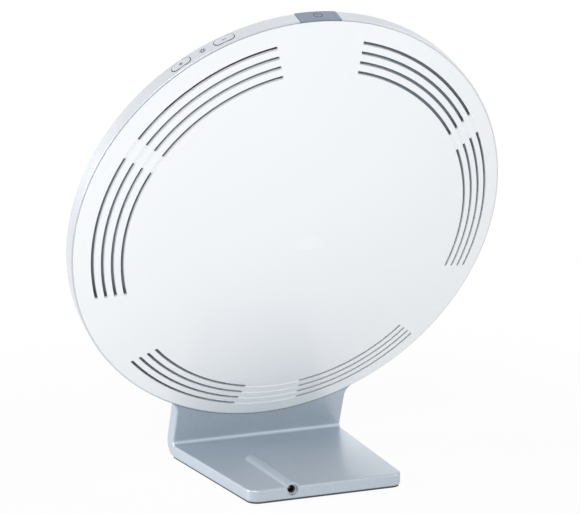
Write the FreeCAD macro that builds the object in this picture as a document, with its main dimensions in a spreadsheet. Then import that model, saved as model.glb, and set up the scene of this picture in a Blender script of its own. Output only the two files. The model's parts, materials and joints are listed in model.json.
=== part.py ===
import FreeCAD, Part
import math
import os
import re
import Sketcher

# A round light therapy lamp: a shallow disc head, leaning back, on a low L-shaped foot.
# World frame: +Z up, the light faces -Y, the origin lies on the underside below the disc's centre.
# Head frame: z points out of the light, y points up in the disc, x is the world's X.

# Driving dimensions, in millimetres and degrees
DIMENSIONS = {
    # Disc and rim
    "disc_radius": 170.0,
    "head_tilt": 20.0,
    "upright_height": 28.75,
    "rim_back": 5.6,
    "rim_width": 12.6,
    "rim_wall": 2.2,
    "rim_round": 1.2,
    "lip_width": 7.3,
    "lip_wall": 2.0,
    # Back cover
    "dome_radius": 420.0,
    "cover_wall": 2.2,
    "seam_gap": 0.2,
    "vent_inset": 14.2,
    "vent_pitch": 6.75,
    "vent_width": 2.3,
    "vent_groove": 0.8,
    "hook_count": 6,
    "hook_width": 6.0,
    "hook_start": 15.0,
    # Diffuser
    "gasket_height": 0.6,
    "diffuser_wall": 2.5,
    "diffuser_gap": 3.3,
    "diffuser_crown": 3.0,
    # Reflector dish and light board plate
    "flange_wall": 1.6,
    "dish_wall": 1.4,
    "dish_gap": 1.3,
    "mouth_inset": 13.4,
    "dish_floor_inset": 39.0,
    "dish_lip_inset": 51.0,
    "floor_level": -2.0,
    "plate_wall": 1.5,
    "plate_inset": 41.0,
    "strip_count": 8,
    "strip_inset": 54.0,
    "strip_width": 11.0,
    "strip_wall": 1.2,
    "strip_start": 24.0,
    "emitter_count": 9,
    "emitter_size": 3.0,
    "emitter_height": 0.8,
    "hub_radius": 21.0,
    # Screws
    "post_count": 6,
    "post_start": 50.0,
    "post_radius": 2.5,
    "post_inset": 3.8,
    "plate_screw_inset": 46.0,
    "screw_radius": 1.1,
    "screw_head": 2.1,
    "screw_head_height": 1.5,
    # Driver board
    "board_length": 96.0,
    "board_width": 58.0,
    "board_wall": 1.6,
    "standoff_height": 5.0,
    "standoff_radius": 2.6,
    "board_margin": 4.5,
    # Controls
    "button_travel": 0.5,
    "button_gap": 0.3,
    "button_proud": 0.3,
    "power_half_angle": 5.5,
    "minus_angle": 24.4,
    "plus_angle": 36.3,
    "oval_length": 16.0,
    "oval_width": 7.1,
    "flange_reach": 1.3,
    "control_wall": 1.2,
    "control_level": 6.0,
    "switch_depth": 5.0,
    "switch_width": 6.0,
    "switch_height": 3.6,
    "stem_width": 3.0,
    "stem_height": 2.4,
    # Foot
    "foot_wall": 2.6,
    "rear_wall": 6.0,
    "edge_round": 1.4,
    "bevel": 2.8,
    "foot_half_front": 69.8,
    "foot_half_rear": 61.0,
    "foot_rear": 67.4,
    "foot_top": 10.4,
    "corner_radius": 9.0,
    "bend_radius": 11.0,
    "fold_radius": 2.9,
    "flare_radius": 12.0,
    "pad_wall": 1.2,
    "pad_inset": 1.0,
    "panel_wall": 2.0,
    "panel_gap": 0.3,
    "ballast_wall": 4.2,
    "ballast_half_length": 45.0,
    "boss_side": 52.0,
    "boss_front": -48.0,
    "boss_rear": 54.0,
    "boss_radius": 3.0,
    # Power inlet
    "inlet_side": 28.2,
    "inlet_height": 8.1,
    "ridge_radius": 5.8,
    "ridge_front": -12.0,
    "flank_radius": 2.0,
    "recess_radius": 4.5,
    "recess_depth": 2.3,
    "bezel_wall": 1.0,
    "jack_radius": 4.2,
    "jack_length": 13.0,
    "jack_bore": 3.1,
    "jack_depth": 9.5,
    "sleeve_wall": 0.25,
    "sleeve_set_back": 1.0,
    "jack_pin": 1.0,
    "pin_set_back": 4.0,
    # Neck bracket
    "neck_half_width": 25.0,
    "neck_wall": 2.0,
    "neck_lap": 14.8,
    "neck_drop": 19.0,
    # Inner leads
    "supply_radius": 1.2,
    "control_lead_radius": 0.9,
}

# Vent stretches, in degrees from the top of the disc, mirrored left and right
VENTS = (("vent_one_start", 12.4), ("vent_one_end", 57.05), ("vent_two_start", 63.3),
         ("vent_two_end", 107.66), ("vent_three_start", 132.56), ("vent_three_end", 170.66))
DIMENSIONS.update(VENTS)
VENT_ROWS = 4

# Sizes that follow from the ones above
FOLLOWING = {
    "head_height": "upright_height + disc_radius * cos(head_tilt)",
    "vent_radius": "disc_radius - vent_inset",
    "dish_mouth": "disc_radius - mouth_inset",
    "dish_floor": "disc_radius - dish_floor_inset",
    "dish_lip": "disc_radius - dish_lip_inset",
    "plate_radius": "disc_radius - plate_inset",
    "plate_screw_circle": "disc_radius - plate_screw_inset",
    "strip_length": "disc_radius - strip_inset - strip_start",
    "neck_top": "neck_lap - disc_radius",
    "neck_bottom": "-disc_radius - neck_drop",
}
SIZES = {**DIMENSIONS, **{alias: "=" + formula for alias, formula in FOLLOWING.items()}}

doc = FreeCAD.newDocument("light_therapy_lamp")
sheet = doc.addObject("Spreadsheet::Sheet", "Sizes")
for row, (alias, size) in enumerate(SIZES.items(), start=1):
    sheet.set(f"A{row}", alias.replace("_", " "))
    sheet.set(f"B{row}", str(size))
    sheet.setAlias(f"B{row}", alias)
doc.recompute()

pieces = []


# Expressions
def cells(text):
    """Lead each size that an expression names with the sheet's name."""
    return re.sub(r"[a-z_]+", lambda word: ("Sizes." if word.group() in SIZES else "") + word.group(), str(text))


def number(text):
    """The value that an expression has now."""
    return float(sheet.evalExpression(cells(text)))


def bind(thing, **sizes):
    """Bind properties to expressions; a double underscore stands for a dot."""
    for key, text in sizes.items():
        thing.setExpression(key.replace("__", "."), cells(text))


# Levels along the head's axis that several pieces share
RIM_FRONT = "(rim_back + rim_width)"
RIM_MIDDLE = "(rim_back + rim_width / 2)"
RIM_INSIDE = "(disc_radius - rim_wall)"
LIP_RADIUS = "(disc_radius - rim_wall - lip_width)"
LIP_BACK = "(rim_back + rim_width - lip_wall)"
CLAMP = "(rim_back + rim_width - lip_wall - gasket_height - diffuser_wall)"
FLANGE_BACK = "(rim_back + rim_width - lip_wall - gasket_height - diffuser_wall - flange_wall)"
DIFFUSER_RADIUS = "(disc_radius - rim_wall - diffuser_gap)"
DISH_RADIUS = "(disc_radius - rim_wall - dish_gap)"
POST_CIRCLE = "(disc_radius - rim_wall - post_inset)"
COVER_EDGE = "(rim_back - seam_gap)"
DOME_CENTRE = "(rim_back - seam_gap + sqrt(dome_radius^2 - disc_radius^2))"
COVER_LAND = "sqrt((dome_radius - cover_wall)^2 - (dome_radius^2 - disc_radius^2))"
PLATE_BACK = "(floor_level - plate_wall)"
BOARD_FRONT = "(floor_level - plate_wall - standoff_height)"
BOARD_BACK = "(floor_level - plate_wall - standoff_height - board_wall)"
NECK_BACK = "(rim_back + foot_wall)"
NECK_FRONT = "(rim_back + foot_wall + neck_wall)"
SWITCH_FACE = "(disc_radius - rim_wall - 7.3)"
FLANGE_OUT = "(disc_radius - rim_wall - button_gap)"
STEM_LEVEL = "(control_level + control_wall + switch_height / 2)"
CONTROL_CIRCLE = "(disc_radius - rim_wall - 9.3)"
CONTROL_POSTS = ("-7", "12", "44")
NECK_SIDES = ("(7 - neck_half_width)", "(neck_half_width - 7)")
NECK_SCREW_UP = "(-dish_mouth - 2.4)"
NECK_SCREW_LOW = "(neck_bottom + 6)"
LEAD_SIDE = "(neck_half_width + 15)"
LEAD_SLOT = "(neck_half_width + 17.5)"

# Levels and outlines of the foot
FOOT_CEILING = "(foot_top - foot_wall)"
PANEL_TOP = "(pad_wall + panel_wall)"
CAVITY_SIDE = "(foot_half_rear - foot_wall - 1)"
RIM_CLEAR = "(disc_radius + seam_gap)"
CAVITY_UP = "(-disc_radius - seam_gap - foot_wall)"


# Placements
def set_head(thing):
    """Place a piece drawn in the head frame: lean it back and lift it to the disc's centre."""
    lean = 90 - number("head_tilt")
    thing.Placement = FreeCAD.Placement(FreeCAD.Vector(), FreeCAD.Rotation(FreeCAD.Vector(1, 0, 0), lean))
    bind(thing, Placement__Base__z="head_height", Placement__Rotation__Angle="90 - head_tilt")


def set_place(thing, x, y, z, turn=None, axis=(0, 0, 1)):
    """Put a thing at a point given as expressions, turned about an axis."""
    if turn is not None:
        angle = number(turn)
        thing.Placement = FreeCAD.Placement(FreeCAD.Vector(),
                                            FreeCAD.Rotation(FreeCAD.Vector(*axis), angle if angle else 1.0))
        bind(thing, Placement__Rotation__Angle=turn)
    bind(thing, Placement__Base__x=x, Placement__Base__y=y, Placement__Base__z=z)


def keep(thing, name, in_head=False):
    """Name a finished sub-part and list it for export."""
    thing.Label = name
    if in_head:
        set_head(thing)
    pieces.append(thing)
    return thing


# Primitives
def box(length, width, height, place, turn=None):
    """A box with its low corner, or its turning point, at a place."""
    thing = doc.addObject("Part::Box", "box")
    bind(thing, Length=length, Width=width, Height=height)
    set_place(thing, *place, turn=turn)
    return thing


def centred_box(length, width, height, place):
    """A box centred on a place in x and y that rises from it in z."""
    x, y, z = place
    return box(length, width, height, (f"({x}) - ({length}) / 2", f"({y}) - ({width}) / 2", z))


def rod(radius, height, place, axis=None, turn="90"):
    """A cylinder that rises in z from a place, or along another axis after a turn."""
    thing = doc.addObject("Part::Cylinder", "rod")
    bind(thing, Radius=radius, Height=height)
    if axis:
        set_place(thing, *place, turn=turn, axis=axis)
    else:
        set_place(thing, *place)
    return thing


def fuse(*shapes):
    """Several solids as one."""
    thing = doc.addObject("Part::MultiFuse", "joined")
    thing.Shapes = list(shapes)
    return thing


def cut(base, *tools):
    """A solid with others taken away."""
    thing = doc.addObject("Part::Cut", "cut")
    thing.Base = base
    thing.Tool = tools[0] if len(tools) == 1 else group(tools)
    return thing


def group(shapes):
    """Separate solids that share one node."""
    thing = doc.addObject("Part::Compound", "group")
    thing.Links = list(shapes)
    return thing


def ring_point(radius, angle):
    """A point of the disc at an angle from its top, as expressions."""
    return f"({radius}) * sin({angle})", f"({radius}) * cos({angle})"


def screw(place, length, down=True):
    """A pan-head screw along z: its head lies below the place and its shank above, or the other way."""
    x, y, z = place
    if down:
        head = rod("screw_head", "screw_head_height", (x, y, f"({z}) - screw_head_height"))
        shank = rod("screw_radius", length, (x, y, f"({z})"))
    else:
        head = rod("screw_head", "screw_head_height", (x, y, z))
        shank = rod("screw_radius", length, (x, y, f"({z}) - ({length})"))
    return fuse(head, shank)


# Sketches and bodies
def new_body(name, in_head=True):
    """An empty body, kept under its node's name."""
    part = doc.addObject("PartDesign::Body", name)
    return keep(part, name, in_head)


def new_sketch(part, role, lift="0", spin=None, slope=None):
    """A sketch on one of the body's origin planes, lifted along its normal and turned when asked."""
    drawing = part.newObject("Sketcher::SketchObject", "drawing")
    plane = next(item for item in part.Origin.OriginFeatures if item.Role == role)
    drawing.AttachmentSupport = [(plane, "")]
    drawing.MapMode = "FlatFace"
    if spin is not None:
        turn = FreeCAD.Rotation(FreeCAD.Vector(0, 1, 0), number(spin) or 1.0)
        drawing.AttachmentOffset = FreeCAD.Placement(FreeCAD.Vector(), turn)
        bind(drawing, AttachmentOffset__Rotation__Angle=spin, AttachmentOffset__Base__x=f"({lift}) * sin({spin})")
        lift = f"({lift}) * cos({spin})"
    if slope is not None:
        turn = FreeCAD.Rotation(FreeCAD.Vector(1, 0, 0), number(slope))
        drawing.AttachmentOffset = FreeCAD.Placement(FreeCAD.Vector(), turn)
        bind(drawing, AttachmentOffset__Rotation__Angle=slope)
    bind(drawing, AttachmentOffset__Base__z=lift)
    return drawing


def tie(drawing, edge, end, across, up):
    """Fix a point of a sketch at expressions measured from the sketch's origin."""
    for kind, text, axis in (("DistanceX", across, -2), ("DistanceY", up, -1)):
        if abs(number(text)) < 1e-9:
            drawing.addConstraint(Sketcher.Constraint("PointOnObject", edge, end, axis))
        else:
            at = drawing.addConstraint(Sketcher.Constraint(kind, -1, 1, edge, end, number(text)))
            drawing.setExpression(f"Constraints[{at}]", cells(text))


def arc_between(start, end, radius, left):
    """The arc of a radius from one point to another, with its centre on the left or the right of the way."""
    middle = (start + end) / 2
    way = end - start
    height = math.sqrt(max(radius**2 - (way.Length / 2) ** 2, 0.0))
    side = FreeCAD.Vector(-way.y, way.x, 0).normalize() * (height if left else -height)
    centre = middle + side
    first, last = (start, end) if left else (end, start)
    begin = math.atan2(first.y - centre.y, first.x - centre.x)
    finish = math.atan2(last.y - centre.y, last.x - centre.x)
    if finish < begin:
        finish += 2 * math.pi
    return Part.ArcOfCircle(Part.Circle(centre, FreeCAD.Vector(0, 0, 1), radius), begin, finish)


def draw(drawing, points, arcs=None):
    """Draw a closed outline through points.

    arcs gives (radius, centre on the left) for the edge after a point; no radius means an upright half circle.
    """
    arcs = arcs or {}
    spots = [FreeCAD.Vector(number(across), number(up), 0) for across, up in points]
    ends = []
    for index, start in enumerate(spots):
        end = spots[(index + 1) % len(spots)]
        if index in arcs:
            radius, left = arcs[index]
            size = number(radius) if radius else (end - start).Length / 2
            edge = drawing.addGeometry(arc_between(start, end, size, left), False)
            if radius:
                at = drawing.addConstraint(Sketcher.Constraint("Radius", edge, size))
                drawing.setExpression(f"Constraints[{at}]", cells(radius))
            else:
                at = drawing.addConstraint(Sketcher.Constraint("DistanceX", -1, 1, edge, 3, start.x))
                drawing.setExpression(f"Constraints[{at}]", cells(points[index][0]))
            ends.append((edge, 1, 2) if left else (edge, 2, 1))
        else:
            edge = drawing.addGeometry(Part.LineSegment(start, end), False)
            ends.append((edge, 1, 2))
    for index, (edge, first, last) in enumerate(ends):
        following, following_first, _ = ends[(index + 1) % len(ends)]
        drawing.addConstraint(Sketcher.Constraint("Coincident", edge, last, following, following_first))
    for (edge, first, _), (across, up) in zip(ends, points):
        tie(drawing, edge, first, across, up)
    return drawing


def draw_circle(drawing, across, up, radius):
    """Draw a circle."""
    circle = Part.Circle(FreeCAD.Vector(number(across), number(up), 0), FreeCAD.Vector(0, 0, 1), number(radius))
    edge = drawing.addGeometry(circle, False)
    at = drawing.addConstraint(Sketcher.Constraint("Radius", edge, number(radius)))
    drawing.setExpression(f"Constraints[{at}]", cells(radius))
    tie(drawing, edge, 3, across, up)
    return drawing


def pad(part, drawing, length, both=False, back=False):
    """Raise a sketch into a solid."""
    feature = part.newObject("PartDesign::Pad", "pad")
    feature.Profile = drawing
    if both:
        feature.SideType = "Symmetric"
    feature.Reversed = back
    bind(feature, Length=length)
    return feature


def pocket(part, drawing, length=None, back=False):
    """Cut a sketch out of the solid, against its normal, or along it when back is set."""
    feature = part.newObject("PartDesign::Pocket", "pocket")
    feature.Profile = drawing
    feature.Reversed = back
    if length is None:
        feature.Type = "ThroughAll"
    else:
        bind(feature, Length=length)
    return feature


def turn(part, drawing, kind="Revolution", angle="360", middle=False):
    """Turn a sketch about its upright axis into a solid or a groove."""
    feature = part.newObject("PartDesign::" + kind, kind.lower())
    feature.Profile = drawing
    feature.ReferenceAxis = (drawing, ["V_Axis"])
    feature.Midplane = middle
    bind(feature, Angle=angle)
    return feature


def repeat(part, features, count):
    """Repeat features round the head's axis."""
    doc.recompute()
    feature = part.newObject("PartDesign::PolarPattern", "repeat")
    feature.Originals = features
    axis = next(item for item in part.Origin.OriginFeatures if item.Role == "Z_Axis")
    feature.Axis = (axis, [""])
    feature.Angle = 360
    bind(feature, Occurrences=count)
    part.Tip = feature
    return feature


def round_edges(part, radius, wanted):
    """Round the edges of a body that a test picks."""
    doc.recompute()
    base = part.Tip
    names = [f"Edge{index}" for index, edge in enumerate(base.Shape.Edges, start=1) if wanted(edge)]
    feature = part.newObject("PartDesign::Fillet", "round")
    feature.Base = (base, names)
    bind(feature, Radius=radius)
    return feature


def is_circle(edge, radius, level=None):
    """Whether an edge is a circle about the head's axis with a radius and, when given, at a level."""
    if edge.Degenerated:
        return False
    curve = edge.Curve
    if not isinstance(curve, Part.Circle) or abs(curve.Radius - radius) > 1e-4:
        return False
    centred = math.hypot(curve.Center.x, curve.Center.y) < 1e-4
    return centred and (level is None or abs(curve.Center.z - level) < 1e-4)


# Rim ring
def make_rim():
    """The silver ring: an outer band, a front lip, posts for the clamp screws and catches for the cover's hooks."""
    part = new_body("rim_ring")
    points = [(RIM_INSIDE, "rim_back"), ("disc_radius", "rim_back"), ("disc_radius", RIM_FRONT),
              (LIP_RADIUS, RIM_FRONT), (LIP_RADIUS, LIP_BACK), (RIM_INSIDE, LIP_BACK)]
    turn(part, draw(new_sketch(part, "XZ_Plane"), points))
    front = number(RIM_FRONT)
    outer = number("disc_radius")
    round_edges(part, "rim_round", lambda edge: is_circle(edge, outer, front))
    round_edges(part, "rim_round / 4", lambda edge: is_circle(edge, outer, number("rim_back")))
    round_edges(part, "rim_round / 2", lambda edge: is_circle(edge, number(LIP_RADIUS), front))
    posts = draw_circle(new_sketch(part, "XY_Plane", LIP_BACK), *ring_point(POST_CIRCLE, "post_start"), "post_radius")
    post = pad(part, posts, f"{LIP_BACK} - {CLAMP}", back=True)
    repeat(part, [post], "post_count")
    pilots = draw_circle(new_sketch(part, "XY_Plane", CLAMP), *ring_point(POST_CIRCLE, "post_start"),
                         "screw_radius")
    pilot = pocket(part, pilots, f"{LIP_BACK} - {CLAMP} + lip_wall / 3", back=True)
    repeat(part, [pilot], "post_count")
    level = "rim_back + 2.4"
    catch = [(f"{RIM_INSIDE} - 1.9", level), (f"{RIM_INSIDE} + 0.5", level),
             (f"{RIM_INSIDE} + 0.5", f"{level} + 1.5"), (f"{RIM_INSIDE} - 1.9", f"{level} + 1.5")]
    drawing = draw(new_sketch(part, "XZ_Plane", spin="90 - hook_start"), catch)
    ledge = turn(part, drawing, angle="hook_width", middle=True)
    repeat(part, [ledge], "hook_count")
    floor = "disc_radius - rim_wall - button_travel - button_gap"
    notch = [(floor, "rim_back - 1"), ("disc_radius + 1", "rim_back - 1"),
             ("disc_radius + 1", f"{RIM_FRONT} + 1"), (floor, f"{RIM_FRONT} + 1")]
    turn(part, draw(new_sketch(part, "YZ_Plane"), notch), "Groove", "2 * power_half_angle", middle=True)
    for angle in ("minus_angle", "plus_angle"):
        pocket(part, draw_oval(new_sketch(part, "XZ_Plane", spin=f"-{angle}"), "oval_length", "oval_width"))
    slot = [("-neck_half_width - panel_gap", f"{NECK_BACK} - panel_gap"),
            (LEAD_SLOT, f"{NECK_BACK} - panel_gap"), (LEAD_SLOT, f"{NECK_FRONT} + 2 * panel_gap"),
            ("-neck_half_width - panel_gap", f"{NECK_FRONT} + 2 * panel_gap")]
    pocket(part, draw(new_sketch(part, "XZ_Plane"), slot), back=True)


def draw_oval(drawing, length, width, level=RIM_MIDDLE):
    """Draw a slot with round ends across the sketch's upright axis at a level."""
    reach = f"(({length}) - ({width})) / 2"
    low = f"{level} - ({width}) / 2"
    high = f"{level} + ({width}) / 2"
    points = [(f"-{reach}", low), (reach, low), (reach, high), (f"-{reach}", high)]
    return draw(drawing, points, {1: (None, True), 3: (None, True)})


# Back cover
def make_cover():
    """The white dome: part of a sphere with rows of vents, plain grooves between them, and snap hooks inside."""
    part = new_body("back_cover")
    inner = "dome_radius - cover_wall"
    points = [("0", f"{DOME_CENTRE} - dome_radius"), ("disc_radius", COVER_EDGE), (COVER_LAND, COVER_EDGE),
              ("0", f"{DOME_CENTRE} - dome_radius + cover_wall")]
    drawing = draw(new_sketch(part, "XZ_Plane"), points, {0: ("dome_radius", True), 2: (inner, False)})
    turn(part, drawing)
    outer = number("disc_radius")
    round_edges(part, "cover_wall / 6", lambda edge: is_circle(edge, outer, number(COVER_EDGE)))
    cuts = []
    for index in range(0, len(VENTS), 2):
        start = VENTS[index][0]
        end = VENTS[index + 1][0]
        for side in (f"90 - {end}", f"90 + {start}"):
            cuts.append((side, f"{end} - {start}", None))
    bridges = ((f"90 - {VENTS[2][0]}", f"{VENTS[2][0]} - {VENTS[1][0]}"),
               (f"90 + {VENTS[1][0]}", f"{VENTS[2][0]} - {VENTS[1][0]}"),
               (f"90 + {VENTS[5][0]}", f"360 - 2 * {VENTS[5][0]}"))
    cuts += [(side, sweep, "vent_groove") for side, sweep in bridges]
    for side, sweep, depth in cuts:
        drawing = new_sketch(part, "XZ_Plane", spin=side)
        for row in range(VENT_ROWS):
            middle = f"(vent_radius - {row} * vent_pitch)"
            low = f"{DOME_CENTRE} - sqrt(dome_radius^2 - {middle}^2)"
            top = f"{low} + {depth}" if depth else f"{low} + 3 * cover_wall"
            near = f"{middle} - vent_width / 2"
            far = f"{middle} + vent_width / 2"
            draw(drawing, [(near, f"{low} - 2"), (far, f"{low} - 2"), (far, top), (near, top)])
        turn(part, drawing, "Groove", sweep)
    arm = f"{RIM_INSIDE} - 4.2"
    tip = "rim_back + 4.2"
    hook = [(arm, "rim_back - 1.6"), (f"{arm} + 1.8", "rim_back - 1.6"), (f"{arm} + 1.8", tip),
            (f"{arm} + 3.6", tip), (f"{arm} + 3.6", f"{tip} + 0.4"), (f"{arm} + 1.8", f"{tip} + 1.4"),
            (arm, f"{tip} + 1.4")]
    drawing = draw(new_sketch(part, "XZ_Plane", spin="90 - hook_start"), hook)
    clip = turn(part, drawing, angle="hook_width * 0.8", middle=True)
    repeat(part, [clip], "hook_count")


# Diffuser and its gasket
def post_notches(part, clearance):
    """Clear the rim's posts."""
    drawing = draw_circle(new_sketch(part, "XY_Plane", f"{RIM_FRONT} + 5"), *ring_point(POST_CIRCLE, "post_start"),
                          f"post_radius + {clearance}")
    repeat(part, [pocket(part, drawing)], "post_count")


def make_diffuser():
    """The opal front: a flat clamped edge and a gently crowned face."""
    part = new_body("front_diffuser")
    face = f"{LIP_RADIUS} - 1.6"
    back = f"{LIP_RADIUS} - 4.1"
    shoulder = f"{RIM_FRONT} - 0.4"
    rise = "(diffuser_crown + 0.4)"
    points = [("0", f"{RIM_FRONT} + diffuser_crown - diffuser_wall"), (back, f"{shoulder} - diffuser_wall"),
              (back, CLAMP), (DIFFUSER_RADIUS, CLAMP), (DIFFUSER_RADIUS, f"{CLAMP} + diffuser_wall"),
              (f"{LIP_RADIUS} - 0.6", f"{CLAMP} + diffuser_wall"), (face, shoulder),
              ("0", f"{RIM_FRONT} + diffuser_crown")]
    outer = f"(({face})^2 + {rise}^2) / (2 * {rise})"
    inner = f"(({back})^2 + {rise}^2) / (2 * {rise})"
    turn(part, draw(new_sketch(part, "XZ_Plane"), points, {0: (inner, False), 6: (outer, True)}))
    post_notches(part, "0.4")


def make_gasket():
    """The foam ring between the lip and the diffuser."""
    part = new_body("diffuser_gasket")
    low = f"{CLAMP} + diffuser_wall"
    points = [(f"{LIP_RADIUS} + 0.4", low), (f"{DIFFUSER_RADIUS} - 0.2", low),
              (f"{DIFFUSER_RADIUS} - 0.2", LIP_BACK), (f"{LIP_RADIUS} + 0.4", LIP_BACK)]
    turn(part, draw(new_sketch(part, "XZ_Plane"), points))
    post_notches(part, "0.3")


# Reflector dish
def make_dish():
    """The white dish that carries the light boards: a clamped flange, a cone and a floor flange."""
    part = new_body("reflector_dish")
    top = CLAMP
    points = [("dish_lip", "floor_level"), ("dish_floor", "floor_level"), ("dish_mouth", FLANGE_BACK),
              (DISH_RADIUS, FLANGE_BACK), (DISH_RADIUS, top), ("dish_mouth - dish_wall", top),
              ("dish_floor - dish_wall", "floor_level + dish_wall"), ("dish_lip", "floor_level + dish_wall")]
    turn(part, draw(new_sketch(part, "XZ_Plane"), points))
    near = f"{DIFFUSER_RADIUS} - 0.2"
    far = "disc_radius"
    notch = [(near, f"{FLANGE_BACK} - 1"), (far, f"{FLANGE_BACK} - 1"), (far, f"{top} + 1"), (near, f"{top} + 1")]
    turn(part, draw(new_sketch(part, "YZ_Plane"), notch), "Groove", "2 * power_half_angle + 6", middle=True)
    middle = "90 - (minus_angle + plus_angle) / 2"
    turn(part, draw(new_sketch(part, "XZ_Plane", spin=middle), notch), "Groove",
         "plus_angle - minus_angle + 10", middle=True)
    holes = draw_circle(new_sketch(part, "XY_Plane", f"{RIM_FRONT} + 5"), *ring_point(POST_CIRCLE, "post_start"),
                        "screw_radius + 0.2")
    repeat(part, [pocket(part, holes)], "post_count")
    floor_holes = draw_circle(new_sketch(part, "XY_Plane", "floor_level + dish_wall + 1"),
                              *ring_point("plate_screw_circle", "post_start"), "screw_radius")
    repeat(part, [pocket(part, floor_holes, "dish_wall + 2")], "post_count")
    for angle in CONTROL_POSTS:
        drawing = draw_circle(new_sketch(part, "XY_Plane", f"{FLANGE_BACK} + 0.5"),
                              *ring_point(CONTROL_CIRCLE, angle), "post_radius")
        pad(part, drawing, f"{FLANGE_BACK} + 0.5 - control_level - control_wall", back=True)
        drawing = draw_circle(new_sketch(part, "XY_Plane", "control_level + control_wall"),
                              *ring_point(CONTROL_CIRCLE, angle), "screw_radius")
        pocket(part, drawing, f"{FLANGE_BACK} - control_level - control_wall", back=True)
    for side in NECK_SIDES:
        drawing = draw_circle(new_sketch(part, "XY_Plane", f"{FLANGE_BACK} + 0.5"), side, NECK_SCREW_UP,
                              "post_radius + 0.5")
        pad(part, drawing, f"{FLANGE_BACK} + 0.5 - {NECK_FRONT}", back=True)
        drawing = draw_circle(new_sketch(part, "XY_Plane", NECK_FRONT), side, NECK_SCREW_UP, "screw_radius")
        pocket(part, drawing, f"{CLAMP} - {NECK_FRONT} - 0.4", back=True)


# Light boards
def make_light():
    """The heat-spreading plate, its radial light strips with their emitters, and the hub board."""
    plate = new_body("led_plate")
    drawing = draw_circle(new_sketch(plate, "XY_Plane", PLATE_BACK), "0", "0", "plate_radius")
    draw_circle(drawing, "0", "hub_radius - 7", "4")
    pad(plate, drawing, "plate_wall")
    holes = draw_circle(new_sketch(plate, "XY_Plane", PLATE_BACK), *ring_point("plate_screw_circle", "post_start"),
                        "screw_radius + 0.2")
    repeat(plate, [pocket(plate, holes, back=True)], "post_count")
    pilots = new_sketch(plate, "XY_Plane", PLATE_BACK)
    for along in ("strip_start + 5.2", "strip_start + strip_length - 5.2"):
        draw_circle(pilots, *ring_point(along, "90 - 180 / strip_count"), "screw_radius")
    repeat(plate, [pocket(plate, pilots, back=True)], "strip_count")
    for side in (-1, 1):
        for end in (-1, 1):
            drawing = draw_circle(new_sketch(plate, "XY_Plane", PLATE_BACK),
                                  f"{side} * (board_length / 2 - board_margin)",
                                  f"{end} * (board_width / 2 - board_margin)", "screw_radius")
            pocket(plate, drawing, back=True)
    emitters = []
    strip_screws = []
    for index in range(int(number("strip_count"))):
        angle = f"360 / strip_count * {index} + 180 / strip_count"
        x, y = ring_point("strip_start", f"90 - ({angle})")
        corner = (f"{x} + strip_width / 2 * sin({angle})", f"{y} - strip_width / 2 * cos({angle})", "floor_level")
        board = box("strip_length", "strip_width", "strip_wall", corner, turn=angle)
        holes = []
        for along in ("strip_start + 5.2", "strip_start + strip_length - 5.2"):
            spot = ring_point(along, f"90 - ({angle})")
            holes.append(rod("screw_radius + 0.1", "strip_wall + 2", (*spot, "floor_level - 1")))
            strip_screws.append(screw((*spot, "floor_level + strip_wall"), "strip_wall + plate_wall - 0.3", down=False))
        keep(cut(board, *holes), f"led_strip_{index + 1}", in_head=True)
        for place in range(int(number("emitter_count"))):
            along = f"(strip_start + 10.4 + (strip_length - 20.8) / (emitter_count - 1) * {place})"
            x, y = ring_point(along, f"90 - ({angle})")
            half = "emitter_size / 2"
            corner = (f"{x} - {half} * cos({angle}) + {half} * sin({angle})",
                      f"{y} - {half} * sin({angle}) - {half} * cos({angle})", "floor_level + strip_wall")
            emitters.append(box("emitter_size", "emitter_size", "emitter_height", corner, turn=angle))
    keep(group(emitters), "led_emitters", in_head=True)
    keep(group(strip_screws), "strip_screws", in_head=True)
    hub = rod("hub_radius", "strip_wall", ("0", "0", "floor_level"))
    hole = rod("3", "strip_wall + 2", ("0", "hub_radius - 7", "floor_level - 1"))
    plug = centred_box("8", "5", "4", ("0", "0", "floor_level + strip_wall"))
    keep(cut(hub, hole), "led_hub_board", in_head=True)
    keep(group([plug]), "hub_connector", in_head=True)


def make_screws():
    """The clamp screws through the dish, and the plate's screws."""
    clamp_screws = []
    plate_screws = []
    for index in range(int(number("post_count"))):
        angle = f"post_start - 360 / post_count * {index}"
        spot = ring_point(POST_CIRCLE, angle)
        clamp_screws.append(screw((*spot, FLANGE_BACK), f"flange_wall + {LIP_BACK} - {CLAMP} + lip_wall / 3 - 0.3"))
        spot = ring_point("plate_screw_circle", angle)
        plate_screws.append(screw((*spot, PLATE_BACK), "plate_wall + dish_wall - 0.2"))
    keep(group(clamp_screws), "dish_screws", in_head=True)
    keep(group(plate_screws), "plate_screws", in_head=True)


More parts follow.
